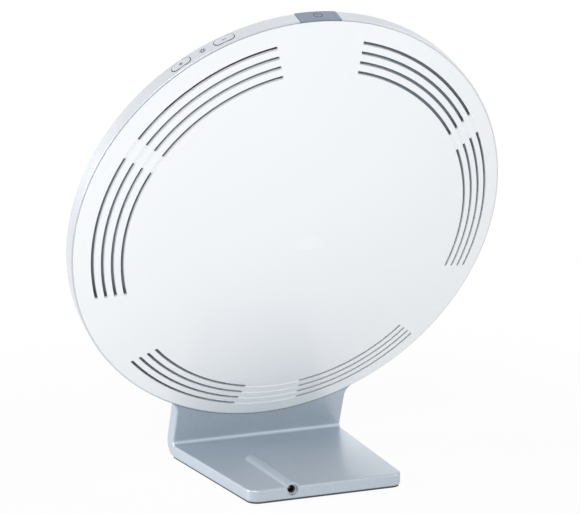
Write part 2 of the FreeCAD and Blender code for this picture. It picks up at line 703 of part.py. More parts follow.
# Driver board
def make_driver():
    """The driver board on four standoffs behind the plate, with its parts facing the cover."""
    corners = [(f"{side} * (board_length / 2 - board_margin)", f"{end} * (board_width / 2 - board_margin)")
               for side in (-1, 1) for end in (-1, 1)]
    board = centred_box("board_length", "board_width", "board_wall", ("0", "0", BOARD_BACK))
    holes = [rod("screw_radius + 0.1", "board_wall + 2", (*spot, f"{BOARD_BACK} - 1")) for spot in corners]
    keep(cut(board, *holes), "driver_board", in_head=True)
    standoffs = []
    screws = []
    for spot in corners:
        post = rod("standoff_radius", "standoff_height", (*spot, BOARD_FRONT))
        bore = rod("screw_radius", "standoff_height - 1", (*spot, BOARD_FRONT))
        standoffs.append(cut(post, bore))
        screws.append(screw((*spot, BOARD_BACK), "board_wall + standoff_height - 1.3"))
    keep(group(standoffs), "board_standoffs", in_head=True)
    keep(group(screws), "board_screws", in_head=True)

    def standing(radius, height, x, y):
        return rod(radius, height, (x, y, f"{BOARD_BACK} - ({height})"))

    def chip(length, width, height, x, y):
        return centred_box(length, width, height, (x, y, f"{BOARD_BACK} - ({height})"))

    cans = [standing("5", "10", "-30", "12"), standing("5", "10", "-30", "-2"), standing("4", "9", "-18", "16")]
    keep(group(cans), "driver_capacitors", in_head=True)
    core = fuse(standing("8", "1.2", "-4", "-6"), standing("5.5", "8", "-4", "-6"),
                rod("8", "1.2", ("-4", "-6", f"{BOARD_BACK} - 8")))
    keep(core, "driver_inductor", in_head=True)
    fins = [chip("1.2", "14", "9", f"14 + 3 * {index}", "10") for index in range(4)]
    keep(fuse(chip("12", "14", "2", "18.5", "10"), *fins), "driver_heatsink", in_head=True)
    keep(group([chip("5", "6", "1.6", "2", "16"), chip("8", "8", "1.2", "12", "-10"),
                chip("3", "5", "1.4", "-14", "-18")]), "driver_chips", in_head=True)
    keep(group([chip("8", "7", "6", "36", "-14"), chip("7", "6", "6", "-38", "-16"),
                chip("10", "6", "5", "30", "18")]), "driver_connectors", in_head=True)


# Controls
def make_controls():
    """The arc-shaped control board under the rim, its three switches and their buttons."""
    part = new_body("control_board")
    inner = "(disc_radius - rim_wall - 17.5)"
    outer = "(disc_radius - rim_wall - 6.8)"
    level = "control_level"
    points = [(inner, level), (outer, level), (outer, f"{level} + control_wall"), (inner, f"{level} + control_wall")]
    turn(part, draw(new_sketch(part, "XZ_Plane", spin="90 - 47"), points), angle="57")
    for angle in CONTROL_POSTS:
        drawing = draw_circle(new_sketch(part, "XY_Plane", f"{level} + 5"), *ring_point(CONTROL_CIRCLE, angle),
                              "screw_radius + 0.1")
        pocket(part, drawing)
    screws = [screw((*ring_point(CONTROL_CIRCLE, angle), level), "control_wall + 3.4") for angle in CONTROL_POSTS]
    keep(group(screws), "control_screws", in_head=True)
    housings = []
    base = "control_level + control_wall"
    for name, angle in (("power", "0"), ("minus", "minus_angle"), ("plus", "plus_angle")):
        x, y = ring_point(f"({SWITCH_FACE} - switch_depth)", angle)
        corner = (f"{x} - switch_width / 2 * cos({angle})", f"{y} + switch_width / 2 * sin({angle})", base)
        housing = box("switch_width", "switch_depth", "switch_height", corner, turn=f"-({angle})")
        x, y = ring_point(f"({SWITCH_FACE} - 2)", angle)
        half = "(stem_width / 2 + 0.2)"
        corner = (f"{x} - {half} * cos({angle})", f"{y} + {half} * sin({angle})", f"{STEM_LEVEL} - stem_height / 2 - 0.2")
        well = box(f"2 * {half}", "3", "stem_height + 0.4", corner, turn=f"-({angle})")
        housings.append(cut(housing, well))
        x, y = ring_point(f"({SWITCH_FACE} - 1.2)", angle)
        half = "stem_width / 2"
        corner = (f"{x} - {half} * cos({angle})", f"{y} + {half} * sin({angle})", f"{STEM_LEVEL} - stem_height / 2")
        plunger = box("stem_width", "3", "stem_height", corner, turn=f"-({angle})")
        keep(group([plunger]), f"{name}_plunger", in_head=True)
    keep(group(housings), "switch_housings", in_head=True)
    make_power_button()
    for name in ("minus", "plus"):
        make_oval_button(name)


def make_stem(part, spin):
    """The stem that runs inward from a button's flange to its switch."""
    start = f"{SWITCH_FACE} + 1.8"
    drawing = new_sketch(part, "XZ_Plane", lift=f"({FLANGE_OUT} - 0.6)", spin=spin)
    low = f"{STEM_LEVEL} - stem_height / 2"
    points = [("-stem_width / 2", low), ("stem_width / 2", low), ("stem_width / 2", f"{low} + stem_height"),
              ("-stem_width / 2", f"{low} + stem_height")]
    pad(part, draw(drawing, points), f"{FLANGE_OUT} - 0.6 - ({start})", back=True)


def make_power_button():
    """The grey insert across the full width of the rim, with ears that stay inside the band."""
    part = new_body("power_button")
    near = "disc_radius - rim_wall"
    far = "disc_radius + button_proud"
    low = "rim_back + button_gap"
    high = f"{RIM_FRONT} - 0.2"
    face = [(near, low), (far, low), (far, high), (near, high)]
    turn(part, draw(new_sketch(part, "YZ_Plane"), face), angle="2 * power_half_angle - 0.3", middle=True)
    round_edges(part, "0.6", lambda edge: is_circle(edge, number(far)))
    near = f"{FLANGE_OUT} - flange_reach"
    ears = [(near, "rim_back + 1.6"), (FLANGE_OUT, "rim_back + 1.6"), (FLANGE_OUT, f"{LIP_BACK} - 0.8"),
            (near, f"{LIP_BACK} - 0.8")]
    turn(part, draw(new_sketch(part, "YZ_Plane"), ears), angle="2 * power_half_angle + 2.6", middle=True)
    web = [(near, "rim_back + 1.6"), ("disc_radius - rim_wall + 0.4", "rim_back + 1.6"),
           ("disc_radius - rim_wall + 0.4", f"{LIP_BACK} - 0.8"), (near, f"{LIP_BACK} - 0.8")]
    turn(part, draw(new_sketch(part, "YZ_Plane"), web), angle="2 * power_half_angle - 1", middle=True)
    make_stem(part, "180")


def make_oval_button(name):
    """One oval button: its cap follows the rim's curve, and a wider flange keeps it in the band."""
    angle = f"{name}_angle"
    cap = new_body(f"{name}_button")
    spin = f"180 - {angle}"
    drawing = draw_oval(new_sketch(cap, "XZ_Plane", spin=spin, lift=f"({FLANGE_OUT} - flange_reach)"),
                        "oval_length - 2 * button_gap", "oval_width - 2 * button_gap")
    pad(cap, drawing, "rim_wall + flange_reach + 3")
    drawing = draw_oval(new_sketch(cap, "XZ_Plane", spin=spin, lift=f"({FLANGE_OUT} - flange_reach)"),
                        "oval_length + 2.4", "oval_width + 1")
    pad(cap, drawing, "flange_reach - 0.5")
    near = "disc_radius + button_proud"
    level = "rim_back - 2"
    trim = [(near, level), ("disc_radius + 12", level), ("disc_radius + 12", f"{RIM_FRONT} + 2"),
            (near, f"{RIM_FRONT} + 2")]
    turn(cap, draw(new_sketch(cap, "XZ_Plane"), trim), "Groove")
    make_stem(cap, spin)


# Foot
def lean_y(level, depth):
    """The world y at a height on a plane of the head frame, level with a depth along the head's axis."""
    return f"((({level}) - head_height) * tan(head_tilt) - ({depth}) / cos(head_tilt))"


def lean_point(up, depth):
    """The world y and z of a point of the head frame, for a sketch on the side plane."""
    return (f"(({up}) * sin(head_tilt) - ({depth}) * cos(head_tilt))",
            f"(head_height + ({up}) * cos(head_tilt) + ({depth}) * sin(head_tilt))")


def lean_sketch(part, depth):
    """A sketch parallel to the disc at a depth along the head's axis."""
    drawing = new_sketch(part, "XY_Plane", lift=f"head_height + ({depth}) * sin(head_tilt)", slope="90 - head_tilt")
    bind(drawing, AttachmentOffset__Base__y=f"-({depth}) * cos(head_tilt)")
    return drawing


def is_cross_line(edge, y, z):
    """Whether an edge is a straight line along x through a point of the side plane."""
    if edge.Degenerated or not isinstance(edge.Curve, Part.Line):
        return False
    return all(abs(vertex.Y - number(y)) < 1e-3 and abs(vertex.Z - number(z)) < 1e-3 for vertex in edge.Vertexes)


def is_upper_edge(edge):
    """Whether an edge of the foot bounds the plate's top or the upright's back, at a side or at the rear."""
    if edge.Degenerated or edge.Length < number("panel_gap") / 2:
        return False
    middle = edge.valueAt((edge.FirstParameter + edge.LastParameter) / 2)
    lean = math.radians(number("head_tilt"))
    depth = (middle.z - number("head_height")) * math.sin(lean) - middle.y * math.cos(lean)
    outward = abs(middle.x) > number("foot_half_rear - corner_radius") or middle.y > number("foot_rear") - 0.1
    near = number("fold_radius") / 2
    return outward and (abs(middle.z - number("foot_top")) < near or abs(depth - number("rim_back")) < near)


def taper_start():
    """The world y where the base plate's sides start to draw in, clear of the rounded fold."""
    return f"({lean_y('foot_top', 'rim_back')} + fold_radius / tan((90 - head_tilt) / 2) + panel_gap)"


def plan_corner(side, inset="0"):
    """The two ends of the rounded rear corner of the base plate, inset from its edge, on one side."""
    slope = f"((foot_half_front - foot_half_rear) / (foot_rear - {taper_start()}))"
    length = f"sqrt(1 + {slope}^2)"
    back = f"((corner_radius - {inset}) * ({length} - {slope}))"
    half = f"(foot_half_rear - {inset})"
    rear = f"(foot_rear - {inset})"
    first = (f"{side}({half} + {slope} * {back} / {length})", f"{rear} - {back} / {length}")
    last = (f"{side}({half} - {back})", rear)
    return first, last


def make_foot_shell():
    """The silver L: a base plate and an upright in the disc's plane that flares into the rim, hollow inside."""
    part = new_body("foot_shell", in_head=False)
    top = f"1.5 * flare_radius - {RIM_CLEAR}"
    fold = (lean_y("foot_top", "rim_back"), "foot_top")
    heel = (lean_y("pad_wall", RIM_FRONT), "pad_wall")
    points = [("foot_rear", "pad_wall"), ("foot_rear", "foot_top"), fold, lean_point(top, "rim_back"),
              lean_point(top, RIM_FRONT), heel]
    reach = "foot_half_front + 2 * flare_radius"
    pad(part, draw(new_sketch(part, "YZ_Plane"), points), f"2 * ({reach})", both=True)
    round_edges(part, "fold_radius", lambda edge: is_cross_line(edge, *fold))
    round_edges(part, "bend_radius", lambda edge: is_cross_line(edge, *heel))
    front = f"{heel[0]} - 20"
    back = "foot_rear + 5"
    for side in ("", "-"):
        first, last = plan_corner(side)
        wedge = [(f"{side}foot_half_front", front), (f"{side}foot_half_front", taper_start()), first, last,
                 (last[0], back), (f"{side}({reach} + 5)", back), (f"{side}({reach} + 5)", front)]
        drawing = draw(new_sketch(part, "XY_Plane", "-1"), wedge, {2: ("corner_radius", side == "")})
        pocket(part, drawing, "foot_top + 5", back=True)
    hub = "(foot_half_front + flare_radius)"
    across = f"({hub} * {RIM_CLEAR} / ({RIM_CLEAR} + flare_radius))"
    start = f"(-sqrt(({RIM_CLEAR} + flare_radius)^2 - {hub}^2))"
    meet = f"({start} * {RIM_CLEAR} / ({RIM_CLEAR} + flare_radius))"
    low = "-disc_radius - 60"
    high = f"{top} + 5"
    shape = [("foot_half_front", low), ("foot_half_front", start), (across, meet), (f"-{across}", meet),
             ("-foot_half_front", start), ("-foot_half_front", low), (f"-({reach} + 5)", low),
             (f"-({reach} + 5)", high), (f"{reach} + 5", high), (f"{reach} + 5", low)]
    arcs = {1: ("flare_radius", False), 2: (RIM_CLEAR, False), 3: ("flare_radius", False)}
    pocket(part, draw(lean_sketch(part, "rim_back"), shape, arcs), "rim_width + 5", back=True)
    round_edges(part, "edge_round", is_upper_edge)
    circle = draw_circle(new_sketch(part, "XZ_Plane", "-foot_rear"), "inlet_side", "inlet_height", "ridge_radius")
    pad(part, circle, "foot_rear - ridge_front")
    reach = "(ridge_radius + flank_radius)"
    rise = "(foot_top + flank_radius - inlet_height)"
    across = f"sqrt({reach}^2 - {rise}^2)"
    share = f"(ridge_radius / {reach})"
    flank = [(f"inlet_side - {across}", "foot_top - 0.5"), (f"inlet_side + {across}", "foot_top - 0.5"),
             (f"inlet_side + {across}", "foot_top"),
             (f"inlet_side + {across} * {share}", f"inlet_height + {rise} * {share}"),
             (f"inlet_side - {across} * {share}", f"inlet_height + {rise} * {share}"),
             (f"inlet_side - {across}", "foot_top")]
    arcs = {2: ("flank_radius", False), 4: ("flank_radius", False)}
    pad(part, draw(new_sketch(part, "XZ_Plane", "-foot_rear"), flank, arcs), "foot_rear - ridge_front - 3")
    cavity = [(f"foot_rear - rear_wall", "-5"), (f"foot_rear - rear_wall", FOOT_CEILING),
              (f"{lean_y(FOOT_CEILING, NECK_BACK)} + bevel", FOOT_CEILING),
              (lean_y(f"{FOOT_CEILING} + bevel", NECK_BACK), f"({FOOT_CEILING} + bevel)"),
              lean_point(CAVITY_UP, NECK_BACK),
              lean_point(CAVITY_UP, f"{RIM_FRONT} + 6"), (f"{heel[0]} - 12", "-5")]
    feature = pocket(part, draw(new_sketch(part, "YZ_Plane"), cavity), f"2 * {CAVITY_SIDE}")
    feature.SideType = "Symmetric"
    slot = [("-neck_half_width - panel_gap", f"{CAVITY_UP} - 1"), (LEAD_SLOT, f"{CAVITY_UP} - 1"),
            (LEAD_SLOT, f"{CAVITY_UP} + foot_wall + 8"), ("-neck_half_width - panel_gap", f"{CAVITY_UP} + foot_wall + 8")]
    pocket(part, draw(lean_sketch(part, NECK_BACK), slot), "neck_wall + 2 * panel_gap", back=True)
    for x, y in BASE_SCREWS:
        boss = draw_circle(new_sketch(part, "XY_Plane", f"{FOOT_CEILING} + 0.5"), x, y, "boss_radius")
        pad(part, boss, f"{FOOT_CEILING} + 0.5 - {PANEL_TOP}", back=True)
        pilot = draw_circle(new_sketch(part, "XY_Plane", PANEL_TOP), x, y, "screw_radius")
        pocket(part, pilot, f"{FOOT_CEILING} - {PANEL_TOP} + 1", back=True)
    for side in NECK_SIDES:
        pilot = draw_circle(lean_sketch(part, NECK_BACK), side, NECK_SCREW_LOW, "screw_radius")
        pocket(part, pilot, "foot_wall - 0.5")
    recess = draw_circle(new_sketch(part, "XZ_Plane", "-foot_rear"), "inlet_side", "inlet_height", "recess_radius")
    pocket(part, recess, "recess_depth", back=True)
    seat = draw_circle(new_sketch(part, "XZ_Plane", "-foot_rear"), "inlet_side", "inlet_height", "jack_radius + 0.1")
    pocket(part, seat, "recess_depth + jack_length + 30", back=True)
    return part


BASE_SCREWS = (("boss_side", "boss_front"), ("-boss_side", "boss_front"),
               ("boss_side", "boss_rear"), ("-boss_side", "boss_rear"))


def make_foot_panel():
    """The bent panel that closes the foot below and in front."""
    part = new_body("foot_panel", in_head=False)
    rear = "foot_rear - rear_wall - panel_gap"
    inner = (lean_y(PANEL_TOP, f"{RIM_FRONT} - panel_wall"), PANEL_TOP)
    outer = (lean_y("pad_wall", RIM_FRONT), "pad_wall")
    up = f"{CAVITY_UP} - panel_gap"
    points = [(rear, "pad_wall"), (rear, PANEL_TOP), inner, lean_point(up, f"{RIM_FRONT} - panel_wall"),
              lean_point(up, RIM_FRONT), outer]
    pad(part, draw(new_sketch(part, "YZ_Plane"), points), f"2 * ({CAVITY_SIDE} - panel_gap)", both=True)
    round_edges(part, "bend_radius - panel_wall", lambda edge: is_cross_line(edge, *inner))
    round_edges(part, "bend_radius", lambda edge: is_cross_line(edge, *outer))
    for x, y in BASE_SCREWS:
        hole = draw_circle(new_sketch(part, "XY_Plane", "pad_wall"), x, y, "screw_radius + 0.2")
        pocket(part, hole, "panel_wall + 1", back=True)
        sink = draw_circle(new_sketch(part, "XY_Plane", "pad_wall"), x, y, "screw_head + 0.3")
        pocket(part, sink, "screw_head_height", back=True)


def make_base():
    """The pad, the ballast plates and the screws of the base."""
    part = new_body("base_pad", in_head=False)
    front = f"{lean_y('pad_wall', RIM_FRONT)} + bend_radius / tan((90 - head_tilt) / 2) + pad_inset"
    side = "foot_half_front - pad_inset"
    right = plan_corner("", "pad_inset")
    left = plan_corner("-", "pad_inset")
    points = [(side, front), right[0], right[1], left[1], left[0], (f"-({side})", front)]
    rounding = "corner_radius - pad_inset"
    drawing = draw(new_sketch(part, "XY_Plane"), points, {1: (rounding, True), 3: (rounding, True)})
    pad(part, drawing, "pad_wall")
    lane = "(ridge_radius + 4)"
    left = box(f"boss_side + 4 - inlet_side - {lane}", "2 * ballast_half_length", "ballast_wall",
               (f"inlet_side + {lane}", "(boss_front + boss_rear) / 2 - ballast_half_length", PANEL_TOP))
    right = box(f"inlet_side - {lane} + boss_side + 4", "2 * ballast_half_length", "ballast_wall",
                ("-boss_side - 4", "(boss_front + boss_rear) / 2 - ballast_half_length", PANEL_TOP))
    keep(group([left]), "ballast_plate_narrow")
    keep(group([right]), "ballast_plate_wide")
    screws = [screw((x, y, "pad_wall + screw_head_height"), f"{FOOT_CEILING} - pad_wall - screw_head_height + 0.6")
              for x, y in BASE_SCREWS]
    keep(group(screws), "base_screws")


def make_jack():
    """The round power jack behind the recess: its bezel, housing, contact sleeve and centre pin."""
    mouth = "foot_rear - recess_depth"
    face = f"{mouth} - bezel_wall"

    def along(radius, length, start):
        return rod(radius, length, ("inlet_side", start, "inlet_height"), axis=(1, 0, 0))

    housing = cut(along("jack_radius", "jack_length", face), along("jack_bore", "jack_depth", face))
    keep(housing, "jack_housing")
    bezel = cut(along("jack_radius", "bezel_wall", mouth), along("jack_bore", "bezel_wall", mouth))
    keep(bezel, "jack_bezel")
    start = f"{face} - sleeve_set_back"
    length = "jack_depth - sleeve_set_back - 0.5"
    sleeve = cut(along("jack_bore", length, start), along("jack_bore - sleeve_wall", length, start))
    keep(sleeve, "jack_sleeve")
    pin = along("jack_pin", "jack_depth - pin_set_back", f"{face} - pin_set_back")
    keep(group([pin]), "jack_pin")


def make_neck():
    """The steel bracket that carries the head, and its screws."""
    part = new_body("neck_bracket")
    points = [("-neck_half_width", "neck_bottom"), ("neck_half_width", "neck_bottom"),
              ("neck_half_width", "neck_top"), ("-neck_half_width", "neck_top")]
    pad(part, draw(new_sketch(part, "XY_Plane", NECK_BACK), points), "neck_wall")
    screws = []
    for side in NECK_SIDES:
        for up in (NECK_SCREW_UP, NECK_SCREW_LOW):
            hole = draw_circle(new_sketch(part, "XY_Plane", f"{NECK_FRONT} + 1"), side, up, "screw_radius + 0.1")
            pocket(part, hole)
        screws.append(screw((side, NECK_SCREW_UP, NECK_BACK), f"{CLAMP} - {NECK_BACK} - 0.7"))
        screws.append(screw((side, NECK_SCREW_LOW, NECK_FRONT), "neck_wall + foot_wall - 0.8", down=False))
    keep(group(screws), "neck_screws", in_head=True)


# Inner leads
def head_spot(x, y, z):
    """A point of the head frame in the world frame."""
    lean = FreeCAD.Rotation(FreeCAD.Vector(1, 0, 0), 90 - number("head_tilt"))
    return lean.multVec(FreeCAD.Vector(x, y, z)) + FreeCAD.Vector(0, 0, number("head_height"))


def rounded_path(points):
    """Straight runs joined by tangent arcs, each as large as its two runs allow."""
    edges = []
    start = points[0]
    for before, corner, after in zip(points, points[1:], points[2:]):
        way_in = (corner - before).normalize()
        way_out = (after - corner).normalize()
        half_turn = way_in.getAngle(way_out) / 2
        cut_back = 0.45 * min((corner - before).Length, (after - corner).Length)
        first = corner - way_in * cut_back
        last = corner + way_out * cut_back
        inward = (way_out - way_in).normalize()
        radius = cut_back / math.tan(half_turn)
        middle = corner + inward * (radius / math.cos(half_turn) - radius)
        edges.append(Part.LineSegment(start, first).toShape())
        edges.append(Part.Arc(first, middle, last).toShape())
        start = last
    edges.append(Part.LineSegment(start, points[-1]).toShape())
    return Part.Wire(edges)


def make_lead(name, points, radius):
    """A round lead along a path."""
    path = rounded_path(points)
    start = path.Edges[0]
    ring = Part.Wire([Part.Circle(points[0], start.tangentAt(start.FirstParameter), radius).toShape()])
    lead = doc.addObject("Part::Feature", name)
    lead.Shape = path.makePipeShell([ring], True, False)
    keep(lead, name)


def make_leads():
    """The supply lead from the jack, the control lead and the light lead."""
    side = number("inlet_side")
    height = number("inlet_height")
    jack_back = number("foot_rear - recess_depth - bezel_wall - jack_length")
    aside = number(LEAD_SIDE)
    level = number(f"({NECK_BACK} + {NECK_FRONT}) / 2 + 0.3")
    socket = number("board_length") / 2 - 12
    tail = number(BOARD_BACK) - 3
    edge = -number("disc_radius")
    heel = number(lean_y("pad_wall", RIM_FRONT))
    supply = [FreeCAD.Vector(side, jack_back, height), FreeCAD.Vector(side, jack_back - 12, height),
              FreeCAD.Vector(side + 1, 14, 5.6), FreeCAD.Vector(side + 3, -16, 5.2),
              FreeCAD.Vector(side + 5, heel + 47.5, 5.2), FreeCAD.Vector(aside - 2, heel + 29.5, 5.1),
              FreeCAD.Vector(aside, heel + 14.5, 5.4), FreeCAD.Vector(aside, heel + 9.1, 10.2),
              FreeCAD.Vector(aside, heel + 11.3, 17.5), head_spot(aside, edge - 8, level),
              head_spot(aside, edge + 2, level), head_spot(aside, edge + 11.5, level - 0.3),
              head_spot(aside - 1, edge + 21, 5.2), head_spot(aside - 2, edge + 32, 0.2),
              head_spot(aside - 3.5, edge + 46, -5.4), head_spot(aside - 5, edge + 70, -8),
              head_spot(aside - 5, -72, -11),
              head_spot(socket, -42, tail), head_spot(socket, -17.5, tail)]
    make_lead("supply_lead", supply, number("supply_radius"))
    inner = number("disc_radius - rim_wall - 17.5")
    control = [head_spot(13.1, math.sqrt(inner**2 - 13.1**2) - 0.4, 6.4), head_spot(12.6, -edge - 27.5, 1.4),
               head_spot(12.4, -edge - 41, -5.5), head_spot(15, -edge - 65, -8.2), head_spot(21, 78, -10.6),
               head_spot(28, 50, -12.6), head_spot(30, 34, -12.8), head_spot(30, 21, -12.8)]
    make_lead("control_lead", control, number("control_lead_radius"))
    way = number("hub_radius") - 7
    light = [head_spot(0, way, number(BOARD_FRONT)), head_spot(0, way, 1.2), head_spot(0, 2.5, 1.2)]
    make_lead("light_lead", light, number("control_lead_radius"))


make_rim()
make_cover()
make_diffuser()
make_gasket()
make_dish()
make_light()
make_screws()
make_driver()
make_controls()
make_foot_shell()
make_foot_panel()
make_base()
make_jack()
make_neck()
make_leads()
doc.recompute()

# Checks and export
for item in doc.Objects:
    if "Invalid" in item.State or "Error" in item.State:
        raise RuntimeError(f"{item.Label} ({item.Name}) failed: {item.State}")
os.makedirs("parts", exist_ok=True)
for piece in pieces:
    shape = piece.Shape
    if shape.isNull() or not shape.isValid() or not shape.Solids:
        raise RuntimeError(f"{piece.Label} has no valid solid")
    shape.exportStep(f"parts/{piece.Label}.step")
    print(f"{piece.Label}: {len(shape.Solids)} solids, {shape.Volume:.1f} mm3")
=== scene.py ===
import json
import math

import bpy
import numpy as np
from bpy.props import FloatProperty, FloatVectorProperty, IntProperty, PointerProperty
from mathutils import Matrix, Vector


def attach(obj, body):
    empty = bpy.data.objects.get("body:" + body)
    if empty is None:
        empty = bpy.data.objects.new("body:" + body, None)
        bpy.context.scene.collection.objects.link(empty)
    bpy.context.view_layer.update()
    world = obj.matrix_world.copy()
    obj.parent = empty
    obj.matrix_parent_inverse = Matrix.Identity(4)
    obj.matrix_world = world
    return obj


bl_info = {
    "name": "Light therapy lamp",
    "version": (1, 0, 0),
    "blender": (4, 5, 0),
    "location": "3D View > Sidebar > Lamp",
    "description": "Finishes, printed signs and studio of a round light therapy lamp",
    "category": "Object",
}

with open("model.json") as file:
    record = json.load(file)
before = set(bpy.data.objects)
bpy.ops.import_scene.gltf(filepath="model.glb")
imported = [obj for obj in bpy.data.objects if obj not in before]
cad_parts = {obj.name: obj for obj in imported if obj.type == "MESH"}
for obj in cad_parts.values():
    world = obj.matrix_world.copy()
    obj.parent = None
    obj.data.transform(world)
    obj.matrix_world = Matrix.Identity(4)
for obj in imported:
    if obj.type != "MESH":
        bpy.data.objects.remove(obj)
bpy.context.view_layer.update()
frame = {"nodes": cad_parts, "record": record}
NODES = frame["nodes"]
SLOTS = {entry["slot"]: entry for entry in frame["record"]["materials"]}

# The head's own frame: x to the world's +X, y up in the disc, z out of the light, from the disc's centre
HEAD_TILT = math.radians(20)
HEAD_HEIGHT = 0.1885

# The rim's band, what is on it and how the print lies on it: metres, and angles from the disc's top
RIM_RADIUS = 0.170
RIM_MIDDLE = 0.0119
BUTTON_RADIUS = 0.1703
POWER_ANGLE = 0.0
MINUS_ANGLE = math.radians(24.4)
SUN_ANGLE = math.radians(30.2)
PLUS_ANGLE = math.radians(36.3)
SIGN_LIFT = 0.00004
SIGN_SINK = 0.00005
RING_POINTS = 48
POWER_GAP = 32
POWER_BAR = 1.2
RAY_START = 1.45
RAY_END = 1.95
RAY_WIDTH = 0.8
OUTLINE_LENGTH = 0.0163
OUTLINE_WIDTH = 0.0074
OUTLINE_LINE = 0.00035

# The emitters, a strip's first one and its run from the disc's middle, and their domes
STRIPS = 8
EMITTERS_ON_STRIP = 9
STRIP_TURN = 22.5
FIRST_EMITTER = 0.0344
EMITTER_RUN = 0.0712
DOME_RADIUS = 0.0012
DOME_HEIGHT = 0.0005
DOME_SINK = 0.0002
DOME_SIDES = 10

# The inductor's middle, and the winding between its flanges
INDUCTOR_MIDDLE = (-0.004, -0.006)
WINDING_START = -0.01135
WINDING_RUN = 0.0056
WINDING_TURNS = 8
WINDING_RADIUS = 0.0064
WINDING_INSIDE = 0.0057
WIRE_RISE = 0.0004
WINDING_ROWS = 67
WINDING_SIDES = 72

# How fine the patterns of the finishes are, in cycles per metre
PLASTIC_CLOUDS = 14.0
PAINT_CLOUDS = 22.0
METAL_STREAKS = 600.0
METAL_STAINS = 30.0
RUBBER_CLOUDS = 60.0
WIRE_STREAKS = 400.0

# The studio: each light's name, place, width, power setting and colour; where the floor turns plain; the camera
WHITE = (1.0, 1.0, 1.0)
LIGHTS = (
    ("key light", (1.9, 2.5, 1.7), 1.8, "key_power", WHITE),
    ("side light", (2.6, -0.9, 0.5), 1.2, "side_power", WHITE),
    ("fill light", (-2.2, 1.6, 0.9), 1.6, "fill_power", (0.95, 0.97, 1.0)),
    ("front light", (-0.6, -2.6, 1.6), 1.8, "front_power", WHITE),
)
ROOM_COLOUR = (0.96, 0.98, 1.0)
FLOOR_LIT = (0.92, 0.93, 0.94)
FLOOR_SEEN = (0.92, 0.92, 0.93)
FLOOR_NEAR = 0.15
FLOOR_FAR = 0.6
CAMERA_PLACE = (0.8452, 2.0062, 0.6387)
CAMERA_TURN = (77.75, 0.0, 157.2)
CAMERA_LENS = 186.2
CAMERA_SENSOR = 36.0


# Shapes
def colour_of(slot):
    """The colour that the record gives a material slot."""
    return tuple(SLOTS[slot]["base_color"][:3])


def head_to_world(x, y, z):
    """Points of the head's frame in the world: a turn about X by the lean, then a lift to the disc's height."""
    sine, cosine = math.sin(HEAD_TILT), math.cos(HEAD_TILT)
    return np.stack([x, y * sine - z * cosine, HEAD_HEIGHT + y * cosine + z * sine], axis=-1)


def band_to_world(along, across, radius, angle):
    """Points on the rim's band: along runs round the circle from an angle, across runs along the head's axis.

    x = r sin(angle + along / r), y = r cos(angle + along / r), z = the band's middle + across.
    """
    turn = angle + along / RIM_RADIUS
    return head_to_world(radius * np.sin(turn), radius * np.cos(turn), RIM_MIDDLE + across)


def grid_faces(rows, columns, wrap_rows=False, wrap_columns=False):
    """The quads of a grid, from each point to its next column and row, closed on itself where asked."""
    row = np.arange(rows if wrap_rows else rows - 1)[:, None]
    column = np.arange(columns if wrap_columns else columns - 1)[None, :]
    next_row = (row + 1) % rows
    next_column = (column + 1) % columns
    corners = np.broadcast_arrays(row * columns + column, row * columns + next_column,
                                  next_row * columns + next_column, next_row * columns + column)
    return np.stack(corners, axis=-1).reshape(-1, 4)


def make_piece(name, shells, body, material, smooth=True):
    """One mesh object from closed shells of points and faces, riding on a body."""
    points = np.concatenate([shell_points.reshape(-1, 3) for shell_points, _ in shells])
    starts = np.cumsum([0] + [shell_points.reshape(-1, 3).shape[0] for shell_points, _ in shells[:-1]])
    faces = [[int(corner + start) for corner in face]
             for (_, shell_faces), start in zip(shells, starts) for face in shell_faces]
    mesh = bpy.data.meshes.new(name)
    mesh.from_pydata(points.tolist(), [], faces)
    mesh.polygons.foreach_set("use_smooth", [smooth] * len(mesh.polygons))
    mesh.materials.append(material)
    mesh.update()
    piece = bpy.data.objects.new(name, mesh)
    bpy.context.scene.collection.objects.link(piece)
    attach(piece, body)


def stroke_shell(path, width, radius, angle, closed=False):
    """A printed line on the band.

    The path (n, 2) is offset to both sides along its normal by half the width, from the radius less the
    print's sink to the radius plus its lift.
    """
    ahead = np.roll(path, -1, axis=0) if closed else np.concatenate([path[1:], 2 * path[-1:] - path[-2:-1]])
    behind = np.roll(path, 1, axis=0) if closed else np.concatenate([2 * path[:1] - path[1:2], path[:-1]])
    way = ahead - behind
    way = way / np.linalg.norm(way, axis=1, keepdims=True)
    normal = np.stack([-way[:, 1], way[:, 0]], axis=1) * width / 2
    side = np.array([-1.0, 1.0, 1.0, -1.0])
    height = np.array([SIGN_LIFT, SIGN_LIFT, -SIGN_SINK, -SIGN_SINK])
    spots = path[:, None, :] + normal[:, None, :] * side[None, :, None]
    levels = radius + np.broadcast_to(height[None, :], spots.shape[:2])
    points = band_to_world(spots[..., 0], spots[..., 1], levels, angle)
    faces = grid_faces(len(path), 4, wrap_rows=closed, wrap_columns=True)
    if not closed:
        last = 4 * (len(path) - 1)
        caps = np.array([[3, 2, 1, 0], [last, last + 1, last + 2, last + 3]])
        faces = np.concatenate([faces, caps])
    return points, faces


def line_path(start, end, count=9):
    """Evenly spaced points from a start to an end."""
    share = np.linspace(0, 1, count)[:, None]
    return np.array(start)[None, :] * (1 - share) + np.array(end)[None, :] * share


def arc_path(radius, first, last, count):
    """Points of a circle's arc about the sign's middle; angles in degrees from straight across the band."""
    turn = np.radians(np.linspace(first, last, count))
    return radius * np.stack([np.sin(turn), np.cos(turn)], axis=1)


def oval_path(length, width, count=24):
    """The outline of a slot with round ends: two half circles joined by straight sides."""
    turn = np.linspace(-math.pi / 2, math.pi / 2, count)
    reach = (length - width) / 2
    right = np.stack([reach + width / 2 * np.cos(turn), width / 2 * np.sin(turn)], axis=1)
    return np.concatenate([right, -right])


